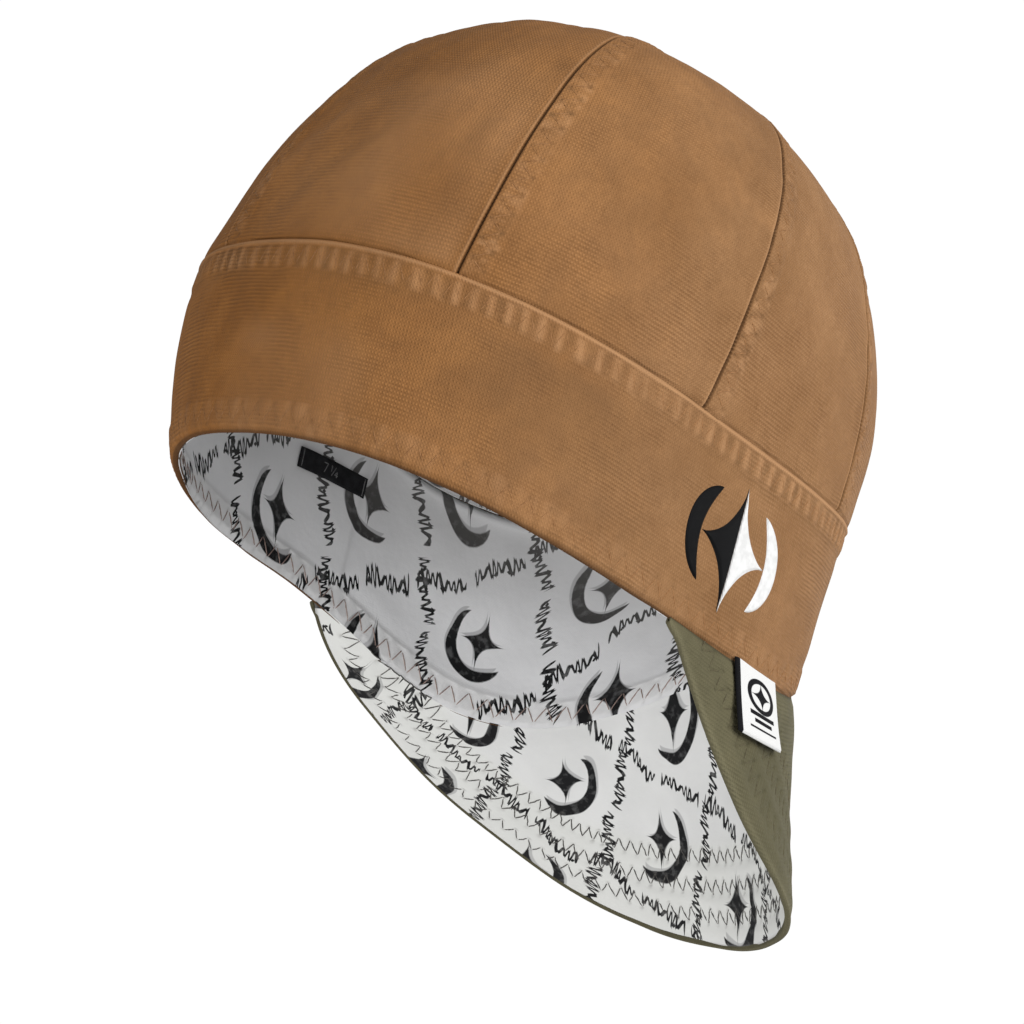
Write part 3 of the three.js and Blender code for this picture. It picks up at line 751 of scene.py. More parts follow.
    def place(ss, ee):
        p, q = np.empty(ss.shape + (3,)), np.empty(ss.shape + (3,))
        for idx in np.ndindex(ss.shape):
            r = np.interp(ss[idx], rows, np.arange(len(rows)))
            i = min(int(r), len(rows) - 2)
            er = e0[i] * (1 - (r - i)) + e0[i + 1] * (r - i)
            c = np.interp(ee[idx], er, np.arange(e0.shape[1]))
            p[idx] = grid_at(fine, np.array(r), np.array(c), False)
            q[idx] = grid_at(n, np.array(r), np.array(c), False)
        return p, q

    stop = rows[int(np.argmax(W[:, 0] < 17))] if (W[:, 0] < 17).any() else reach
    zigzag_row(THREAD_CROWN, place, 0.5, stop, 6.0, 1.5, 6.2, 100 + number, lift=0.03)
    return piece


for i, a in enumerate(CROWN_SEAMS):
    b = CROWN_SEAMS[(i + 1) % 8] + (360 if i == 7 else 0)
    make_gore(i + 1, a, b)
crown_stitches = THREAD_CROWN.make("crown_stitches", TAN_THREAD, "tan_duck")

# ---------------------------------------------------------------- band
BAND_PITCH, RIM_PITCH = 5.45, 6.6
fine_az = np.arange(0, 7200) * 0.05
rim_len = lengths(np.concatenate([rim_point(fine_az), rim_point(fine_az[:1])]), 0)
seam_len = lengths(np.concatenate([seam_point(fine_az), seam_point(fine_az[:1])]), 0)
RIM_AROUND, SEAM_AROUND = rim_len[-1], seam_len[-1]
RIM_PITCH = RIM_AROUND / round(RIM_AROUND / RIM_PITCH)
BAND_PITCH = SEAM_AROUND / round(SEAM_AROUND / BAND_PITCH)


def rim_s(az):
    return np.interp(np.mod(az, 360), np.append(fine_az, 360), rim_len)


def seam_s(az):
    return np.interp(np.mod(az, 360), np.append(fine_az, 360), seam_len)


def az_of_rim(s):
    return np.interp(np.mod(s, RIM_AROUND), rim_len, np.append(fine_az, 360))


def az_of_seam(s):
    return np.interp(np.mod(s, SEAM_AROUND), seam_len, np.append(fine_az, 360))


def band_rows(top_zone, top_step, low_zone, low_step, middle_step, height=57.0):
    """Rows of the band as (kind, mm): from the top down, in the middle as a share, and from the rim up."""
    top = np.arange(0, top_zone + 1e-6, top_step)
    low = np.arange(0, low_zone + 1e-6, low_step)[::-1]
    count = int(round((height - top_zone - low_zone) / middle_step))
    middle = np.linspace(0, 1, count + 1)[1:-1]
    rows = [("t", t) for t in top] + [("m", m) for m in middle] + [("x", x) for x in low]
    while (len(rows) - 1) % 4:
        count += 1
        middle = np.linspace(0, 1, count + 1)[1:-1]
        rows = [("t", t) for t in top] + [("m", m) for m in middle] + [("x", x) for x in low]
    return rows, top_zone, low_zone


def band_grid(rows, top_zone, low_zone, az, inset=0.5):
    """Distance under the top seam for each row and azimuth, and the points there."""
    top, low = seam_point(az, inset), rim_point(az)
    height = np.linalg.norm(top - low, axis=-1)
    t = np.empty((len(rows), len(az)))
    for j, (kind, val) in enumerate(rows):
        t[j] = val if kind == "t" else height - val if kind == "x" else top_zone + (height - low_zone - top_zone) * val
    k = 1 - t / height
    points = low[None] * (1 - k[..., None]) + top[None] * k[..., None]
    points = points + band_bow(np.broadcast_to(az, k.shape), k)
    return t, height, points


def near_rim(az):
    """1 round the back of the rim, where the folded hem covers the lining's edge, 0 elsewhere."""
    a = np.mod(az, 360)
    return step(a, 118, 140) * (1 - step(a, 258, 268))


def left_rim(az):
    """1 where the rim turns away at the left, where the hem's fold is narrow and the lining comes close to it, 0 elsewhere."""
    a = np.mod(az, 360)
    return step(a, 100, 116) * (1 - step(a, 130, 143))


def make_band():
    n_cols = 660
    az = np.arange(n_cols) * 360.0 / n_cols
    rows, tz, lz = band_rows(9.0, 0.45, 8.8, 0.55, 1.5)
    t, height, base = band_grid(rows, tz, lz, az)
    x = height[None] - t
    outward = base * np.array([1, 1, 0])
    n = grid_normals(base, True, outward)
    st, sr = np.broadcast_to(seam_s(az), t.shape), np.broadcast_to(rim_s(az), t.shape)
    relief = 0.34 * (1 - step(t, 6.6, 9.0)) + 0.36 * bump(t, 0.45, 0.5)
    window = step(t, 0.8, 2.2) * (1 - step(t, 6.6, 8.4))
    wander = 1 + 0.7 * noise1(st, 21, 5) + 0.5 * noise1(st, 5.2, 55)
    sp = st + 1.7 * noise1(st, 10, 4)
    ribbing = (0.5 + 0.5 * np.cos(2 * np.pi * sp / BAND_PITCH)) ** 2
    relief = relief + window * wander * (0.22 * (ribbing - 0.35) + 0.12 * noise(np.stack([st, t * 0.4, 0 * t], -1), 2.3, 21))
    relief = relief + zigzag_dent(st, t, BAND_PITCH, 1.5, 7.3, 0.08, 0.30) * np.clip(wander, 0.3, 1.6)
    # cloth drawn in just under the stitched strip
    relief = relief - 0.22 * bump(t, 10.2, 1.6) * (1 + noise1(st, 8, 9)) * 0.6
    hem = step(x, 0.3, 1.2) * (1 - step(x, 7.4, 9.2))
    relief = relief + 0.30 * hem
    relief = relief + hem * (0.09 * np.cos(2 * np.pi * sr / RIM_PITCH) * (1 + 0.8 * noise1(sr, 19, 6)) + 0.07 * noise(np.stack([sr, x * 0.3, 0 * x], -1), 2.4, 22))
    relief = relief + zigzag_dent(sr, x, RIM_PITCH, 1.3, 6.9, 0.13, 0.25)
    mid = step(t, 8, 18) * step(x, 6, 16)
    relief = relief + mid * (0.85 * noise(base, 46, 14) + 0.3 * noise(base, 17, 15)) + 0.10 * noise(base, 7, 16)
    relief = relief - 0.5 * np.exp(-((x / 0.5) ** 2))
    fine = base + n * relief[..., None]
    # the top edge folds in behind itself, the rim folds under the lining
    fold_top, fold_top_back = [], []
    first, first_n = fine[0], n[0]
    up = base[0] - base[1]
    up /= np.linalg.norm(up, axis=-1, keepdims=True)
    for a in (150, 120, 90, 60, 30):
        r = 0.42
        fold_top.append(first - first_n * r + first_n * r * math.cos(math.radians(a)) + up * r * math.sin(math.radians(a)))
    last, last_n = fine[-1], n[-1]
    fold_low = []
    near = near_rim(az)[:, None]
    for a in (30, 60, 90, 120, 150, 165, 180):
        r = 0.78 + 0.30 * near - 0.34 * left_rim(az)[:, None]
        fold_low.append(last - last_n * r + last_n * r * math.cos(math.radians(a)) - up * r * math.sin(math.radians(a)))
    pre = np.stack(fold_top)
    post = np.stack(fold_low)
    extra = (-(len(pre) + len(post) + len(rows) - 1)) % 4
    full = np.concatenate([pre, fine, post])
    if extra:
        tail = [full[-1] + up * (0.5 * (q + 1)) for q in range(extra)]
        full = np.concatenate([full, np.stack(tail)])
    nf = grid_normals(full, True, full * np.array([1, 1, 0]))
    nf_all = np.concatenate([np.repeat(n[:1], len(pre), 0), n, np.repeat(n[-1:], len(post) + extra, 0)])
    plain = np.concatenate([np.repeat(base[:1] + up[None] * 0.2, len(pre), 0), base, np.repeat(base[-1:] , len(post) + extra, 0)])
    depth = np.full(len(full), 1.15)
    back = plain[::4, ::4] - nf_all[::4, ::4] * depth[::4, None, None]
    t_full = np.concatenate([np.repeat(t[:1], len(pre), 0) - np.arange(len(pre), 0, -1)[:, None] * 0.4, t, np.repeat(t[-1:], len(post) + extra, 0) + np.arange(1, len(post) + extra + 1)[:, None] * 0.4])
    col_s = np.append(rim_s(az), RIM_AROUND)
    uv = np.stack([np.broadcast_to(col_s, (len(full), n_cols + 1)), -np.concatenate([t_full, t_full[:, :1]], 1)], -1)
    T, X = t_full, height[None] - t_full
    S = np.broadcast_to(seam_s(az), T.shape)
    R = np.broadcast_to(rim_s(az), T.shape)
    SP = S + 1.7 * noise1(S, 10, 4)
    RIB = (0.5 + 0.5 * np.cos(2 * np.pi * SP / BAND_PITCH)) ** 2
    WANDER = np.clip(1 + 0.7 * noise1(S, 21, 5) + 0.5 * noise1(S, 5.2, 55), 0.15, 1.8)
    strip = step(T, 0.9, 2.0) * (1 - step(T, 6.6, 8.6))
    # painted highlight on the folded top edge and on the rib tops of the strip, with a lighter hem and pale flecks
    wear_and_highlight = 0.85 * bump(T, 0.35, 0.62) + 0.36 * strip * RIB * WANDER + 0.10 * step(X, 0.4, 1.5) * (1 - step(X, 6.5, 9.0))
    wear_and_highlight = wear_and_highlight + 0.25 * np.clip(noise(np.stack([S, T * 0.35, 0 * T], -1), 2.0, 31), 0, 1) * (T < 8.4) * (T > 1)
    wear_and_highlight = wear_and_highlight + 0.22 * np.clip(noise(np.stack([R, X * 0.25, 0 * T], -1), 1.6, 32), 0, 1) * (X < 8.5)
    # painted shade between the strip's ribs, under the strip, under the top fold and in the rim's stitch holes
    stain_and_shade = 0.42 * strip * (1 - RIB) ** 2 * WANDER * (0.75 + 0.5 * noise(np.stack([S, T, 0 * T], -1), 3.1, 33)) + 0.20 * bump(T, 8.8, 1.6) * (1 + noise1(S, 7, 7)) + 0.10 * bump(T, 1.7, 0.7)
    stain_and_shade = stain_and_shade + np.clip(-zigzag_dent(R, X, RIM_PITCH, 1.3, 6.9, 0.10, 0.4, 0.4), 0, 0.5)
    # darker under the strip on the side toward the badge, paler low at the back left
    turn = np.broadcast_to(az, T.shape)
    blotch = noise(np.stack([S, 1.7 * T, 0 * T], -1), 21, 98)
    stain_and_shade = stain_and_shade + 0.36 * step(turn, 212, 228) * (1 - step(turn, 284, 296)) * step(T, 8.5, 13) * (1 - 0.6 * step(T, 38, 54)) * np.clip(0.85 + 0.7 * blotch, 0.15, 1.5)
    wear_and_highlight = wear_and_highlight + 0.32 * step(turn, 172, 184) * (1 - step(turn, 198, 208)) * step(T, 18, 30) * np.clip(0.9 + 0.6 * blotch, 0, 1.4)
    # painted shade in the rim's fold and behind the folded top edge
    painted_shade = 0.75 * (1 - step(X, -0.6, 0.25)) + 0.4 * (1 - step(T, -1.6, -0.6))
    tone = np.stack([np.clip(wear_and_highlight, 0, 1), np.clip(painted_shade, 0, 1), np.clip(stain_and_shade, 0, 1)], -1)
    shells = Shells()
    shells.wall(full, back, uv, tone, closed=True)
    piece = shells.make("band_cloth", TAN, slot="tan_duck", replaces=["band"])

    def place_top(ss, ee):
        c = az_of_seam(ss) / 360 * n_cols
        r = len(pre) + np.interp(ee, t[: int(9 / 0.45), 0], np.arange(int(9 / 0.45)))
        return grid_at(full, r, c, True), grid_at(nf_all, r, c, True)

    low_count = int(round(8.8 / 0.55)) + 1

    def place_low(ss, ee):
        c = az_of_rim(ss) / 360 * n_cols
        r = len(pre) + len(rows) - 1 - np.interp(ee, np.arange(low_count) * 0.55, np.arange(low_count))
        return grid_at(full, r, c, True), grid_at(nf_all, r, c, True)

    sewn = Threads(0.14)
    zigzag_row(sewn, place_top, 0, SEAM_AROUND, BAND_PITCH, 1.5, 7.3, 7, lift=0.0)
    zigzag_row(sewn, place_low, 0, RIM_AROUND, RIM_PITCH, 1.3, 6.9, 8, lift=0.03)
    stitches = sewn.make("band_stitches", TAN_THREAD, "tan_duck")

    def surface(azimuth, down):
        """Point and normal of the band's outer face at an azimuth and a distance under its top edge, as (arrays)."""
        c = np.mod(azimuth, 360) / 360 * n_cols
        r = np.empty_like(c)
        for idx in np.ndindex(c.shape):
            col = t[:, int(c[idx]) % n_cols]
            r[idx] = len(pre) + np.interp(down[idx], col, np.arange(len(col)))
        return grid_at(full, r, c, True), grid_at(nf_all, r, c, True)

    return piece, stitches, float(height.mean()), surface


band_piece, band_stitches, BAND_HEIGHT, band_surface = make_band()


# ---------------------------------------------------------------- bill
BILL_END = 0.985


def bill_frame(n_v, w):
    v = np.linspace(-BILL_END, BILL_END, n_v + 1)
    V, Wg = np.meshgrid(v, w)
    return v, V, Wg


def edge_coords(points, edge):
    """Distance of each point to the bill's outer edge, and the arc length along the edge of the nearest place."""
    s = lengths(edge, 0)
    flat = points.reshape(-1, 3)
    d2 = np.full(len(flat), 1e18)
    where = np.zeros(len(flat))
    for i in range(len(edge) - 1):
        a, b = edge[i], edge[i + 1]
        ab = b - a
        t = np.clip(((flat - a) @ ab) / max(ab @ ab, 1e-9), 0, 1)
        q = ((flat - (a + t[:, None] * ab)) ** 2).sum(1)
        better = q < d2
        d2[better] = q[better]
        where[better] = s[i] + t[better] * (s[i + 1] - s[i])
    return np.sqrt(d2).reshape(points.shape[:2]), where.reshape(points.shape[:2]), s[-1]


BILL_ROWS = [(7.0, 12.2), (16.6, 21.8), (26.4, 31.6)]
BILL_PITCH = 6.2


def bill_relief(D, S, V, W, base, face):
    """Relief of either face: quilted by the stitched rows, soft waves between."""
    relief = 0.0
    for lo, hi in BILL_ROWS:
        relief = relief + zigzag_dent(S, D, BILL_PITCH, lo, hi, 0.30, 0.30, 0.55)
    for centre in (4.0, 14.4, 24.1):
        relief = relief + 0.28 * bump(D, centre, 2.0)
    relief = relief + 0.5 * noise(base, 34, 51 + face) * step(W * 80, 2, 14) + 0.24 * noise(base, 12, 53 + face) + 0.08 * noise(base, 5, 55 + face)
    return relief


def edge_half(v):
    """Half the bill's thickness at its rolled edge: fuller in front, thin toward the left end."""
    return 1.0 - 0.70 * step(v, 0.05, 0.5)


def trimmed(v):
    """Share of the bill's length at which its cloth rolls over: a little inside the outline."""
    out = np.maximum(along(BILL_OUT, v), 0.5)
    inside = 2.2 - 1.7 * np.exp(-(((v + 0.42) / 0.24) ** 2)) + 0.5 * np.exp(-(((v - 0.65) / 0.25) ** 2))
    return 1 - np.minimum(inside, out * 0.35) / out


def make_bill():
    n_v = 344
    edge_v = np.linspace(-BILL_END, BILL_END, 301)
    edge = bill_point(edge_v, trimmed(edge_v))
    # top
    w = np.linspace(0, 1, 105)
    v, V, W = bill_frame(n_v, w)
    W = W * trimmed(v)[None]
    base = bill_point(V, W)
    # the root is tucked against the band's folded hem
    ra = np.radians(BILL_MIDDLE + BILL_HALF * v)
    root = rim_point(BILL_MIDDLE + BILL_HALF * v) - 0.55 * np.stack([np.sin(ra), -np.cos(ra), 0 * ra], -1) - np.array([0, 0, 0.35])
    base = base + (root - base[0])[None] * (1 - step(W * np.maximum(along(BILL_OUT, v), 0.5)[None], 0.0, 3.0))[..., None]
    az = BILL_MIDDLE + BILL_HALF * V
    droop = np.radians(along(BILL_DROOP, V))
    a = np.radians(az)
    outward = np.stack([np.sin(a) * np.sin(droop), -np.cos(a) * np.sin(droop), np.cos(droop)], -1)
    n = grid_normals(base, False, outward)
    wrong = (n * outward).sum(-1) < 0
    n[wrong] *= -1
    D, S, total = edge_coords(base, edge)
    relief = bill_relief(D, S, V, W, base, 0) * step(W * 80, 0.5, 4)
    fade = step(1 - np.abs(V) / BILL_END, 0.0, 0.06) * calm_edge(V, D)
    top = base + n * (relief * fade)[..., None]
    away = base[-1] - base[-2]
    away /= np.linalg.norm(away, axis=-1, keepdims=True)
    r = edge_half(v)[:, None]
    rim_rows = []
    for ang in (25, 50, 75, 100, 125, 150, 180):
        q = math.radians(ang)
        rim_rows.append(base[-1] - n[-1] * (r - r * math.cos(q)) + away * r * math.sin(q))
    rim_rows.append(base[-1] - n[-1] * 2 * r - away * 1.3)
    wrap = np.stack(rim_rows)
    full = np.concatenate([top, wrap])
    nw = [n[-1] * math.cos(math.radians(q)) + away * math.sin(math.radians(q)) for q in (25, 50, 75, 100, 125, 150, 180)] + [-n[-1]]
    nn = np.concatenate([n, np.stack(nw)])
    plain = np.concatenate([base, wrap])
    assert (len(full) - 1) % 4 == 0, len(full)
    wall = 0.4 - 0.25 * (1 - edge_half(v)) / 0.7
    back = (plain - nn * wall[None, :, None])[::4, ::4]
    mid_len = lengths(base[:, n_v // 2], 0)[-1]
    U = np.broadcast_to(lengths(bill_point(v, np.full_like(v, 0.5)), 0)[None], (len(full), n_v + 1))
    out_len = np.maximum(along(BILL_OUT, v), 0.5)
    rows_v = np.concatenate([w[:, None] * out_len[None], out_len[None] + np.arange(1, 9)[:, None] * 0.5])
    uv = np.stack([U, -rows_v], -1)
    wearline = np.zeros(full.shape[:2])
    Dt = np.concatenate([D, np.zeros((8, n_v + 1))])
    St = np.concatenate([S, np.repeat(S[-1:], 8, 0)])
    wearline += 0.55 * bump(Dt, 0.0, 0.9) * 0.6
    stain_and_shade = np.zeros_like(wearline)
    # painted shade in the stitch dents of the three rows
    for lo, hi in BILL_ROWS:
        stain_and_shade += np.clip(-zigzag_dent(St, Dt, BILL_PITCH, lo, hi, 0.2, 0.6, 0.5), 0, 0.7)
    # painted shade at the root against the band and on the cloth turned under the edge
    painted_shade = 0.5 * (1 - step(rows_v, 0.0, 1.2))
    painted_shade[-2:] += 0.3
    shells = Shells()
    shells.wall(full, back, uv, np.stack([np.clip(wearline, 0, 1), np.clip(painted_shade, 0, 1), np.clip(stain_and_shade, 0, 1)], -1))
    top_piece = shells.make("bill_cloth", OLIVE, slot="olive_duck", replaces=["bill_top"])
    top_area = float(np.linalg.norm(np.cross(np.diff(full, axis=0)[:, :-1], np.diff(full, axis=1)[:-1]), axis=-1).sum()) * 1e-6

    # underside: lies below the top face, its edge under the olive lip
    wl = np.linspace(0, 1, 105)
    v, V, W = bill_frame(n_v, wl)
    out_len = np.maximum(along(BILL_OUT, v), 0.5)
    end = trimmed(v) - 0.45 / np.maximum(out_len, 3.0)
    W = W * end[None]
    under_base = bill_point(V, W)
    nb = grid_normals(under_base, False, outward)
    nb[(nb * outward).sum(-1) < 0] *= -1
    near_edge = 1 - step((end[None] - W) * out_len[None], 0, 14)
    depth = 2.5 + (2 * edge_half(V) - 0.1 - 2.5) * near_edge
    mid_face = under_base - nb * depth[..., None]
    D, S, total = edge_coords(under_base, edge)
    relief = bill_relief(D, S, V, W, under_base, 5)
    relief = relief * step(W * 80, 0.0, 3)
    relief = relief + 0.16 * step(D, 0.5, 2.0) - 0.25 * np.exp(-((D - 0.6) / 0.4) ** 2)
    relief = relief * fade_like(V) * calm_edge(V, D)
    low = mid_face - nb * relief[..., None]
    # the root turns up toward the band's lining
    low, mid_face = turn_to_band(low, V, W, out_len), turn_to_band(mid_face, V, W, out_len)
    back = (mid_face + nb * np.minimum(0.6, depth * 0.3)[..., None])[::4, ::4]
    U = np.broadcast_to(lengths(bill_point(v, np.full_like(v, 0.5)), 0)[None], low.shape[:2])
    uv = np.stack([U, -(W * out_len[None])], -1)
    stain_and_shade = 0.55 * (1 - step(D, 30, 36)) * step(D, 0, 3)
    # painted shade along the edge under the olive lip and in the stitch holes
    painted_shade = 0.5 * np.exp(-((D - 0.5) / 0.5) ** 2)
    for lo, hi in BILL_ROWS:
        painted_shade = painted_shade + np.clip(-zigzag_dent(S, D, BILL_PITCH, lo, hi, 0.08, 0.5, 0.35), 0, 1.0) * 0.9
    wear_and_highlight = np.zeros_like(stain_and_shade)
    shells = Shells()
    shells.wall(low, back, uv, np.stack([wear_and_highlight, np.clip(painted_shade, 0, 1), np.clip(stain_and_shade, 0, 1)], -1))
    under_piece = shells.make("bill_underside_cloth", UNDER, slot="white_lining", replaces=["bill_underside"])
    under_area = float(np.linalg.norm(np.cross(np.diff(low, axis=0)[:, :-1], np.diff(low, axis=1)[:-1]), axis=-1).sum()) * 1e-6

    def placer(grid, normal, Dg, Sg, sign):
        def place(ss, ee):
            p, q = np.empty(ss.shape + (3,)), np.empty(ss.shape + (3,))
            sub = np.linspace(-1, 1, 9)
            for idx in np.ndindex(ss.shape):
                d = (Dg - ee[idx]) ** 2 + (Sg - ss[idx]) ** 2
                j, i = np.unravel_index(int(d.argmin()), d.shape)
                jj, ii = np.meshgrid(np.clip(j + sub, 0, Dg.shape[0] - 1.001), np.clip(i + sub, 0, Dg.shape[1] - 1.001), indexing="ij")
                dd = (grid_at(Dg[..., None], jj, ii, False)[..., 0] - ee[idx]) ** 2 + (grid_at(Sg[..., None], jj, ii, False)[..., 0] - ss[idx]) ** 2
                a_, b_ = np.unravel_index(int(dd.argmin()), dd.shape)
                p[idx] = grid_at(grid, jj[a_, b_], ii[a_, b_], False)
                q[idx] = grid_at(normal, jj[a_, b_], ii[a_, b_], False) * sign
            return p, q
        return place

    place_under = placer(low, nb, D, S, -1.0)
    sewn = Threads(0.20)
    for r_, (lo, hi) in enumerate(BILL_ROWS):
        zigzag_row(sewn, place_under, lo * 0.9 + 3, total - lo * 0.9 - 3, BILL_PITCH, lo, hi, 20 + r_, lift=0.1, parts=5)
    under_stitches = sewn.make("bill_underside_stitches", GREY_THREAD, "white_lining")
    Dtop, Stop, _ = edge_coords(base, edge)
    place_top = placer(top, n, Dtop, Stop, 1.0)
    sewn = Threads(0.15)
    for r_, (lo, hi) in enumerate(BILL_ROWS):
        zigzag_row(sewn, place_top, lo * 0.9 + 3, total - lo * 0.9 - 3, BILL_PITCH, lo, hi, 30 + r_, lift=0.04, parts=5)
    top_stitches = sewn.make("bill_stitches", OLIVE_THREAD, "olive_duck")
    return top_piece, under_piece, under_stitches, top_stitches, top_area, under_area


def calm_edge(V, D):
    """Keeps both faces smooth where the bill's edge is thin."""
    return 1 - (1 - edge_half(V)) / 0.7 * (1 - step(D, 2, 18))


def fade_like(V):
    return step(1 - np.abs(V) / BILL_END, 0.0, 0.05)


def turn_to_band(p, V, W, out_len):
    """Moves the first millimetres of the underside toward the lining's lower edge, so that no gap shows."""
    v = V[0]
    az = BILL_MIDDLE + BILL_HALF * v
    inner = lining_edge(az)
    d = W * out_len[None]
    t = 1 - step(d, 0.0, 4.0)
    return p + (inner - p[0])[None] * t[..., None]


def lining_edge(az):
    """The lower edge of the band's lining, inside the rim."""
    a = np.radians(az)
    inward = -np.stack([np.sin(a), -np.cos(a), 0 * a], -1)
    near, left = near_rim(az)[:, None], left_rim(az)[:, None]
    return rim_point(az) + inward * (2.25 + 0.20 * near - 0.62 * left) + np.array([0, 0, 1.0]) * (0.25 * near - 0.55 * (1 - near) + 0.10 * left)


bill_piece, under_piece, under_stitches, bill_stitches, BILL_AREA, UNDER_AREA = make_bill()


# ---------------------------------------------------------------- linings
LABEL_AZ, LABEL_SPAN, LABEL_RISE, LABEL_TALL, LABEL_TILT = 87.0, 19.0, 0.67, 6.5, -0.0062


def make_band_lining():
    n_cols = 600
    az = np.arange(n_cols) * 360.0 / n_cols
    rows, tz, lz = band_rows(4.0, 1.0, 8.8, 0.55, 1.1, 56.0)
    t, height, base0 = band_grid(rows, tz, lz, az)
    x = height[None] - t
    n = grid_normals(base0, True, base0 * np.array([1, 1, 0]))
    base = base0 - n * 2.5
    sr = np.broadcast_to(rim_s(az), t.shape)
    # relief is toward the head
    relief = 0.20 * step(x, 0.4, 1.3) * (1 - step(x, 8.0, 8.9))
    relief = relief - 0.08 * bump(x, 9.3, 0.4)
    # an upright join, and a calm place where the size label is sewn on
    join = (np.mod(az - 78.0 + 180, 360) - 180)[None] * 1.62 + 0 * t
    relief = relief + 0.55 * step(join, -0.4, 0.5) * np.exp(-((join / 11) ** 2)) * step(x, 7, 11) * step(t, 1, 6)
    calm = 1 - 0.9 * step(np.abs((np.mod(az - LABEL_AZ + 180, 360) - 180))[None] + 0 * t, 10, 17) * 0 - 0.9 * (1 - step(np.abs((np.mod(az - LABEL_AZ + 180, 360) - 180))[None] + 0 * t, 9.5, 15))
    window = step(x, 0.8, 1.8) * (1 - step(x, 7.0, 8.2))
    relief = relief + window * (0.12 * np.cos(2 * np.pi * sr / RIM_PITCH) + 0.06 * noise(np.stack([sr, x * 0.3, 0 * x], -1), 2.8, 71))
    relief = relief + zigzag_dent(sr, x, RIM_PITCH, 1.3, 6.9, 0.22, 0.32)
    mid = step(x, 8, 16) * step(t, 2, 8)
    relief = relief + mid * calm * (0.7 * noise(base, 30, 72) + 0.35 * noise(base, 13, 73)) + 0.08 * noise(base, 5.5, 74)
    relief = relief - 0.8 * np.exp(-((t / 0.8) ** 2)) + 0.35 * bump(t, 2.0, 1.0)
    fine = base - n * relief[..., None]
    low_target = lining_edge(az)
    # lower edge curls out to the rim's fold
    curl = 1 - step(x, 0.0, 1.6)
    fine = fine + (low_target - fine[-1])[None] * curl[..., None]
    back = (base0 - n * 1.5)
    left = left_rim(az)[:, None]
    back = back + (low_target + np.array([0, 0, 1.0]) * 0.5 + n[-1] * (0.9 - 0.30 * left) - back[-1])[None] * (1 - step(x, 0.0, 2.0))[..., None]
    back = back[::4, ::4]
    col_s = np.append(rim_s(az), RIM_AROUND)
    tt = np.concatenate([x, x[:, :1]], 1)
    uv = np.stack([np.broadcast_to(-col_s, tt.shape), tt], -1)
    # painted shade: darker higher up inside the cap, under the hem at the back, along the top seam, in the stitch holes
    # and on a line above the hem
    painted_shade = 0.38 * step(base0[..., 2], 6, 50) + 0.35 * (1 - step(x, 0.2, 0.8)) * near_rim(az)[None] + 0.3 * np.exp(-((t / 0.8) ** 2)) + np.clip(-zigzag_dent(sr, x, RIM_PITCH, 1.3, 6.9, 0.0, 0.5, 0.4), 0, 0.5) * 0.5 + 0.12 * bump(x, 8.6, 0.5)
    stain_and_shade = 0.5 * (1 - step(x, 7.5, 9.0)) * step(x, 0.2, 1.2)
    tone = np.stack([0 * painted_shade, np.clip(painted_shade, 0, 1), np.clip(stain_and_shade, 0, 1)], -1)
    shells = Shells()
    shells.wall(fine, back, uv, tone, closed=True)
    piece = shells.make("band_lining_cloth", LINING, slot="white_lining", replaces=["band_lining"])
    low_count = int(round(8.8 / 0.55)) + 1

    def place_low(ss, ee):
        c = az_of_rim(ss) / 360 * n_cols
        r = len(rows) - 1 - np.interp(ee, np.arange(low_count) * 0.55, np.arange(low_count))
        return grid_at(fine, r, c, True), -grid_at(n, r, c, True)

    sewn = Threads(0.18)
    zigzag_row(sewn, place_low, 0, RIM_AROUND, RIM_PITCH, 1.3, 6.9, 9, lift=0.10)
    stitches = sewn.make("lining_stitches", PINK_THREAD, "white_lining")
    return piece, stitches


band_lining_piece, lining_stitches = make_band_lining()


def make_crown_lining():
    shells = Shells()
    area = 0.0
    for i, a0 in enumerate(CROWN_SEAMS):
        a1 = CROWN_SEAMS[(i + 1) % 8] + (360 if i == 7 else 0)
        mid = (a0 + a1) / 2
        uu = np.linspace(0, 1, 3001)
        ll = lengths(crown_point(np.full_like(uu, mid), uu), 0)
        rows = spaced(ll[-1] - 4.0, [(0, 4, 0.8), (4, 2000, 1.7)])
        u = np.interp(rows, ll, uu)
        az = np.linspace(a0, a1, 41)
        A, U = np.meshgrid(az, u)
        surf = crown_point(A, U)
        n = grid_normals(surf, False, surf - np.array([0, 0, 60.0]))
        base = surf - n * 3.1
        e0 = lengths(base, 1)
        W = e0[:, -1:]
        e1 = W - e0
        s = np.broadcast_to(rows[:, None], e0.shape)
        relief = -0.5 * np.exp(-((e0 / 1.2) ** 2)) - 0.5 * np.exp(-((e1 / 1.2) ** 2)) + 0.6 * noise(base, 30, 81) + 0.25 * noise(base, 12, 82)
        relief = relief * step(s, 0, 5)
        fine = base - n * relief[..., None]
        back = (surf - n * 2.3)[::4, ::4]
        uv = np.stack([W / 2 - e0, s + 57], -1)
        # painted shade: the whole crown lining darkened, more along its seams and at its lower edge
        painted_shade = 0.25 + 0.4 * (np.exp(-((e0 / 1.4) ** 2)) + np.exp(-((e1 / 1.4) ** 2))) + 0.3 * np.exp(-((s / 1.2) ** 2))
        tone = np.stack([0 * painted_shade, np.clip(painted_shade, 0, 1), 0 * painted_shade], -1)
        shells.wall(fine, back, uv, tone)
        area += float(np.linalg.norm(np.cross(np.diff(fine, axis=0)[:, :-1], np.diff(fine, axis=1)[:-1]), axis=-1).sum()) * 1e-6
    return shells.make("crown_lining_cloth", LINING, slot="white_lining", replaces=["crown_lining"]), area


crown_lining_piece, LINING_AREA = make_crown_lining()

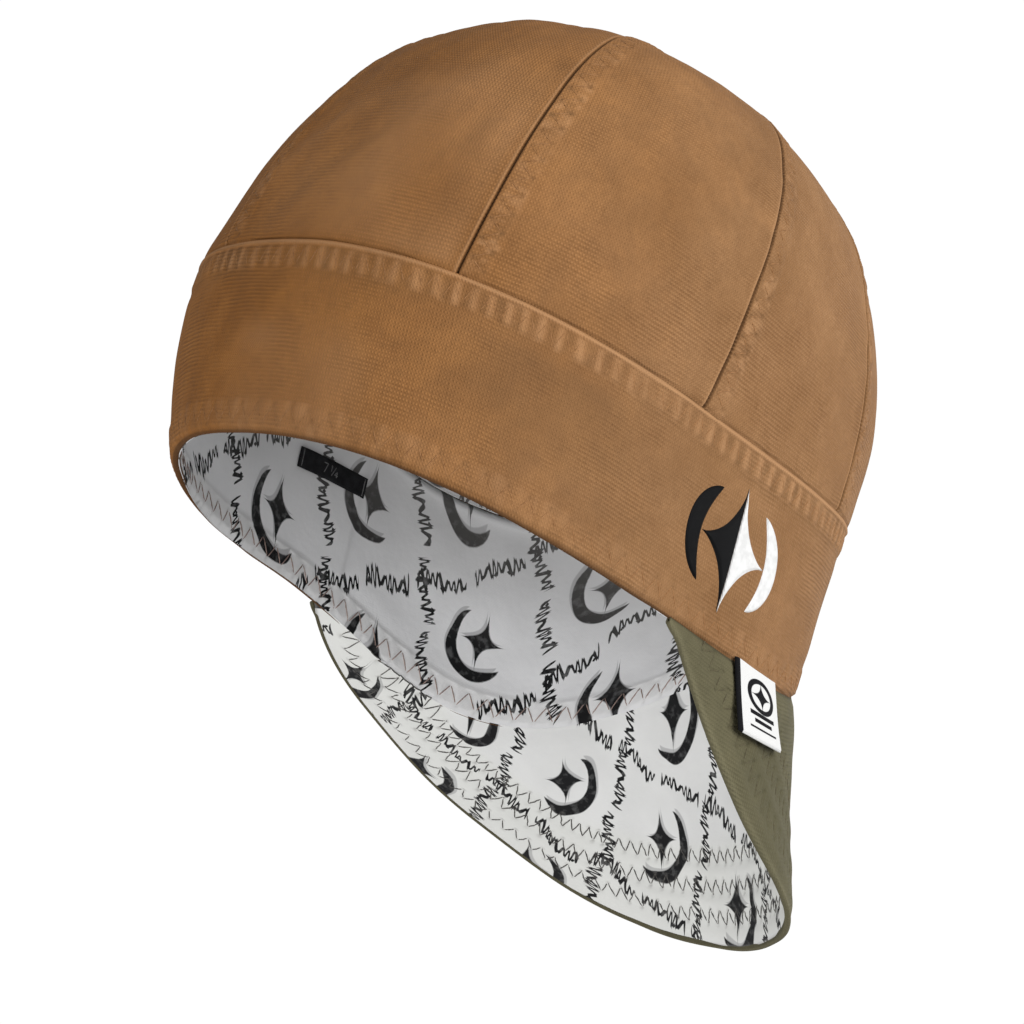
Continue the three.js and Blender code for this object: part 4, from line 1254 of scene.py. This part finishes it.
# ---------------------------------------------------------------- woven labels and the emblem
def woven(name, ground, kind, wide=13.5, tall=18.0):
    """Satin label: plain dark with a faint mottle (its faint border is stitched on in thread), or white with a star
    over three bars and a black selvage.
    """
    g = Nodes(name)
    mm = g.object_mm()
    rows = g.wave(g.v, 0.5)
    if kind == "size":
        colour = g.mix(g.span(g.noise(mm, 0.4, 2.0), 0.35, 0.65, 0.0, 1.0), ground, tuple(1.5 * c + 0.004 for c in ground))
    else:
        tu, tv = g.mul(g.u, 13.5 / wide), g.mul(g.v, 18.0 / tall)
        px, py = g.abs(g.sub(tu, 7.2)), g.abs(g.add(tv, 6.4))
        star = g.under(g.add(g.math("SQRT", g.div(px, 3.6)), g.math("SQRT", g.div(py, 4.0))), 1.0, 0.05)
        ring = g.under(g.abs(g.sub(g.math("SQRT", g.add(g.mul(px, px), g.mul(py, py))), 3.7)), 0.6, 0.08)
        marks = g.hi(star, ring)
        for y, half, thick in ((-11.3, 3.9, 0.55), (-13.0, 2.8, 0.5), (-14.9, 4.2, 0.28)):
            bar = g.mul(g.under(g.abs(g.sub(tu, 7.2)), half, 0.06), g.under(g.abs(g.sub(tv, y)), thick, 0.06))
            marks = g.hi(marks, bar)
        selvage = g.under(tu, 0.95, 0.08)
        colour = g.mix(g.hi(marks, selvage), ground, (0.006, 0.006, 0.007))
    normal = g.bump(rows, 0.05, 0.5)
    return g.finish(colour, 0.75, normal, sheen=0.0, specular=0.08)


def one_wall(name, fine, back, uv, material, slot, replaces=()):
    shells = Shells()
    shells.wall(fine, back, uv, np.zeros(fine.shape[:2] + (3,)))
    return shells.make(name, material, slot=slot, replaces=replaces)


def make_size_label():
    a = np.linspace(0, 1, 57)
    b = np.linspace(0, 1, 17)
    A, B = np.meshgrid(a, b)
    az = LABEL_AZ + LABEL_SPAN * (A - 0.5)
    tall = around(SEAM_Z, az) - around(RIM_Z, az)
    k = LABEL_RISE + LABEL_TILT * (az - LABEL_AZ) + (B - 0.5) * LABEL_TALL / tall

    def base(az, k):
        low, top = rim_point(az), seam_point(az, 0.5)
        return low * (1 - k[..., None]) + top * k[..., None] + band_bow(az, k)

    p = base(az, k)
    n = grid_normals(p, False, p * np.array([1, 1, 0]))
    n[..., 2] = 0
    n /= np.linalg.norm(n, axis=-1, keepdims=True)
    length = float(lengths(p, 1)[:, -1].mean())
    edge = np.minimum(np.minimum(A, 1 - A) * length, np.minimum(B, 1 - B) * LABEL_TALL)
    puff = 0.30 * step(edge, 0, 0.7) + 0.10 * noise(p, 6, 201)
    fine = p - n * (3.15 + puff)[..., None]
    back = (p - n * 2.75)[::4, ::4]
    # seen from inside the cap the label's left end is its high azimuth
    uv = np.stack([(1 - A) * length, B * LABEL_TALL], -1)
    label = one_wall("size_label_cloth", fine, back, uv, woven("black_woven", (0.010, 0.010, 0.011), "size"), "black_woven", ["size_label"])
    # the generic size in dark grey thread
    glyphs = {
        "7": [[(0, 3.0), (1.7, 3.0), (0.7, 0)]],
        "1": [[(0, 1.5), (0.35, 1.85), (0.35, 0)]],
        "/": [[(0, 0), (1.3, 3.0)]],
        "4": [[(0.9, 0), (0.9, 1.85), (0, 0.65), (1.3, 0.65)]],
    }
    strokes = []
    for char, x, y in (("7", 10.2, 1.7), ("1", 13.4, 2.9), ("/", 14.1, 1.7), ("4", 15.3, 1.7)):
        for line in glyphs[char]:
            strokes.append([(px + x, py + y) for px, py in line])
    for x in (1.1, length - 1.1):
        strokes.append([(x, 0.5), (x, LABEL_TALL - 0.5)])
    marks = Threads(0.17, 6)
    for stroke in strokes:
        for (x0, y0), (x1, y1) in zip(stroke[:-1], stroke[1:]):
            t = np.linspace(0, 1, 7)
            cx, cy = x0 + (x1 - x0) * t, y0 + (y1 - y0) * t
            r, c = cy / LABEL_TALL * 16, (1 - cx / length) * 56
            q = grid_at(fine, r, c, False) - grid_at(n, r, c, False) * 0.02
            marks.stitches(q[None], -grid_at(n, r, c, False)[None])
    number = marks.make("size_label_number", thread("label_thread", (0.16, 0.16, 0.16), (0.09, 0.09, 0.09)), "black_woven")
    return label, number, length


def make_side_tag():
    a = np.linspace(0, 1, 41)
    b = np.linspace(0, 1, 57)
    A, B = np.meshgrid(a, b)
    v = (-65.2 + 14.0 * (A - 0.5) + 4.6 * B - BILL_MIDDLE) / BILL_HALF
    w = (-1.2 + (17.8 + 1.2) * B) / along(BILL_OUT, v)
    p = bill_point(v, w)
    droop, az = np.radians(along(BILL_DROOP, v)), np.radians(BILL_MIDDLE + BILL_HALF * v)
    outward = np.stack([np.sin(az) * np.sin(droop), -np.cos(az) * np.sin(droop), np.cos(droop)], -1)
    n = grid_normals(p, False, outward)
    n[(n * outward).sum(-1) < 0] *= -1
    wide, tall = float(lengths(p, 1)[:, -1].mean()), float(lengths(p, 0)[-1].mean())
    edge = np.minimum(np.minimum(A, 1 - A) * wide, (1 - B) * tall)
    lift = 0.85 + 1.5 * B ** 2 + 0.55 * np.sin(np.pi * A) * B
    fine = p + n * (lift + 0.55 * step(edge, 0, 0.7) + 0.12 * noise(p, 7, 205))[..., None]
    back = (p + n * (lift - 0.25)[..., None])[::4, ::4]
    uv = np.stack([A * wide, -B * tall], -1)
    tag = one_wall("side_tag_cloth", fine, back, uv, woven("white_woven", (0.60, 0.60, 0.59), "tag", wide, tall), "white_woven", ["side_tag"])
    return tag, wide, tall


EMBLEM_AZ, EMBLEM_K = -80.0, 0.475


def make_emblem():
    """A satin-stitched star, half black and half white, between two tapered arcs; it stands where the cap's badge is."""
    satin = {}
    for name, colour, slot in (("emblem_black_thread", (0.003, 0.003, 0.0035), "black_woven"), ("emblem_white_thread", (0.66, 0.66, 0.655), "white_woven")):
        g = Nodes(name)
        mm = g.object_mm()
        base = g.mix(g.span(g.noise(mm, 0.5, 2.0), 0.35, 0.65, 0.0, 1.0), colour, tuple(0.86 * c for c in colour))
        satin[name] = (g.finish(base, 0.62, g.bump(g.wave(g.u, 0.42), 0.06, 0.5), sheen=0.0, specular=0.08), slot)
    height = float(np.linalg.norm(seam_point(np.array([EMBLEM_AZ]), 0.5) - rim_point(np.array([EMBLEM_AZ]))))

    def place(x, y):
        """Millimetres across and up on the band to points and normals of its cloth."""
        r = float(around(RIM_R, np.array([EMBLEM_AZ]))[0]) + 2
        p, n = band_surface(EMBLEM_AZ + np.degrees(x / r), (1 - EMBLEM_K) * height - y)
        return p, n

    def patch(shells, x, y, edge, soft=0.9, high=0.62):
        p, n = place(x, y)
        n = n / np.linalg.norm(n, axis=-1, keepdims=True)
        fine = p + n * (high * step(edge, 0, soft) - 0.12)[..., None]
        back = (p - n * 0.45)[::4, ::4]
        shells.wall(fine, back, np.stack([x + 0.25 * y, y], -1), np.zeros(x.shape + (3,)))

    def star_half(sign):
        shells = Shells()
        th = np.radians(np.linspace(-90, 90, 97))
        c, s_ = np.abs(np.cos(th)), np.abs(np.sin(th))
        rr = 1 / (np.maximum(c / 15.0, 1e-6) ** 0.66 + np.maximum(s_ / 18.5, 1e-6) ** 0.66) ** (1 / 0.66)
        rho = np.linspace(0, 1, 25)
        R, TH = np.meshgrid(rho, th, indexing="ij")
        RR = np.broadcast_to(rr[None], R.shape)
        x, y = sign * (R * RR * np.cos(TH) + 0.10), R * RR * np.sin(TH)
        edge = np.minimum((1 - R) * RR * 0.45, np.abs(x) * 1.2 + 0.25)
        patch(shells, x, y, edge)
        # the tapered arc on this side
        t = np.linspace(-1, 1, 97)
        across = np.linspace(-1, 1, 13)
        AC, T = np.meshgrid(across, t, indexing="ij")
        ang = np.radians(2 + 54 * T)
        half = 2.9 * np.maximum(0.03, 1 - np.abs(T) ** 2.2) ** 0.75
        rad = 16.2 + AC * half
        x, y = sign * rad * np.cos(ang) * 1.10, rad * np.sin(ang) * 1.05
        edge = (1 - np.abs(AC)) * half
        patch(shells, x, y, edge)
        return shells

    black = star_half(-1).make("emblem_black", satin["emblem_black_thread"][0], slot="black_woven")
    white = star_half(1).make("emblem_white", satin["emblem_white_thread"][0], slot="white_woven")
    return black, white


size_label, size_number, LABEL_LENGTH = make_size_label()
side_tag, TAG_WIDE, TAG_TALL = make_side_tag()
emblem_black, emblem_white = make_emblem()

# ---------------------------------------------------------------- stage
def make_stage():
    me = bpy.data.meshes.new("floor")
    r = 6.0
    me.from_pydata([(r * math.cos(a), r * math.sin(a), -1.6) for a in np.linspace(0, 2 * math.pi, 65)[:-1]], [], [list(range(64))])
    floor = bpy.data.objects.new("floor", me)
    COLLECTION.objects.link(floor)
    g = Nodes("pale_floor")
    g.finish((0.82, 0.82, 0.82), 0.9)
    me.materials.append(g.mat)
    world = bpy.data.worlds.new("studio")
    bpy.context.scene.world = world
    world.use_nodes = True
    t = world.node_tree
    t.nodes.clear()
    out = t.nodes.new("ShaderNodeOutputWorld")
    mix = t.nodes.new("ShaderNodeMixShader")
    path = t.nodes.new("ShaderNodeLightPath")
    soft, seen = t.nodes.new("ShaderNodeBackground"), t.nodes.new("ShaderNodeBackground")
    soft.inputs[0].default_value, soft.inputs[1].default_value = (1, 1, 1, 1), 0.40
    seen.inputs[0].default_value, seen.inputs[1].default_value = (1, 1, 1, 1), 1.02
    t.links.new(path.outputs["Is Camera Ray"], mix.inputs[0])
    t.links.new(soft.outputs[0], mix.inputs[1])
    t.links.new(seen.outputs[0], mix.inputs[2])
    t.links.new(mix.outputs[0], out.inputs[0])

    def area(name, place, target, size, power):
        data = bpy.data.lights.new(name, "AREA")
        data.shape, data.size, data.energy = "SQUARE", size, power
        o = bpy.data.objects.new(name, data)
        o.location = place
        o.rotation_mode = "QUATERNION"
        o.rotation_quaternion = (Vector(target) - Vector(place)).to_track_quat("-Z", "Y")
        COLLECTION.objects.link(o)

    right, up, back = Vector(CAM_RIGHT), Vector(CAM_UP), Vector(CAM_BACK)
    aim = Vector((0, 0, 0.04))
    area("key", aim + back * 1.3 + right * 0.9 + up * 1.0, aim, 0.9, 20.0)
    area("right", aim + back * 0.9 + right * 1.5 + up * 0.2, aim, 0.9, 23.4)
    area("front", Vector((0.25, -1.7, 0.5)), aim, 1.1, 8.0)
    area("low_left", aim + back * 1.0 - up * 0.9 - right * 1.0, aim, 1.0, 15.0)


make_stage()

scene = bpy.context.scene
scene.view_settings.view_transform = "Standard"
scene.view_settings.look = "None"
scene.view_settings.exposure = 0.0
scene.view_settings.gamma = 1.0
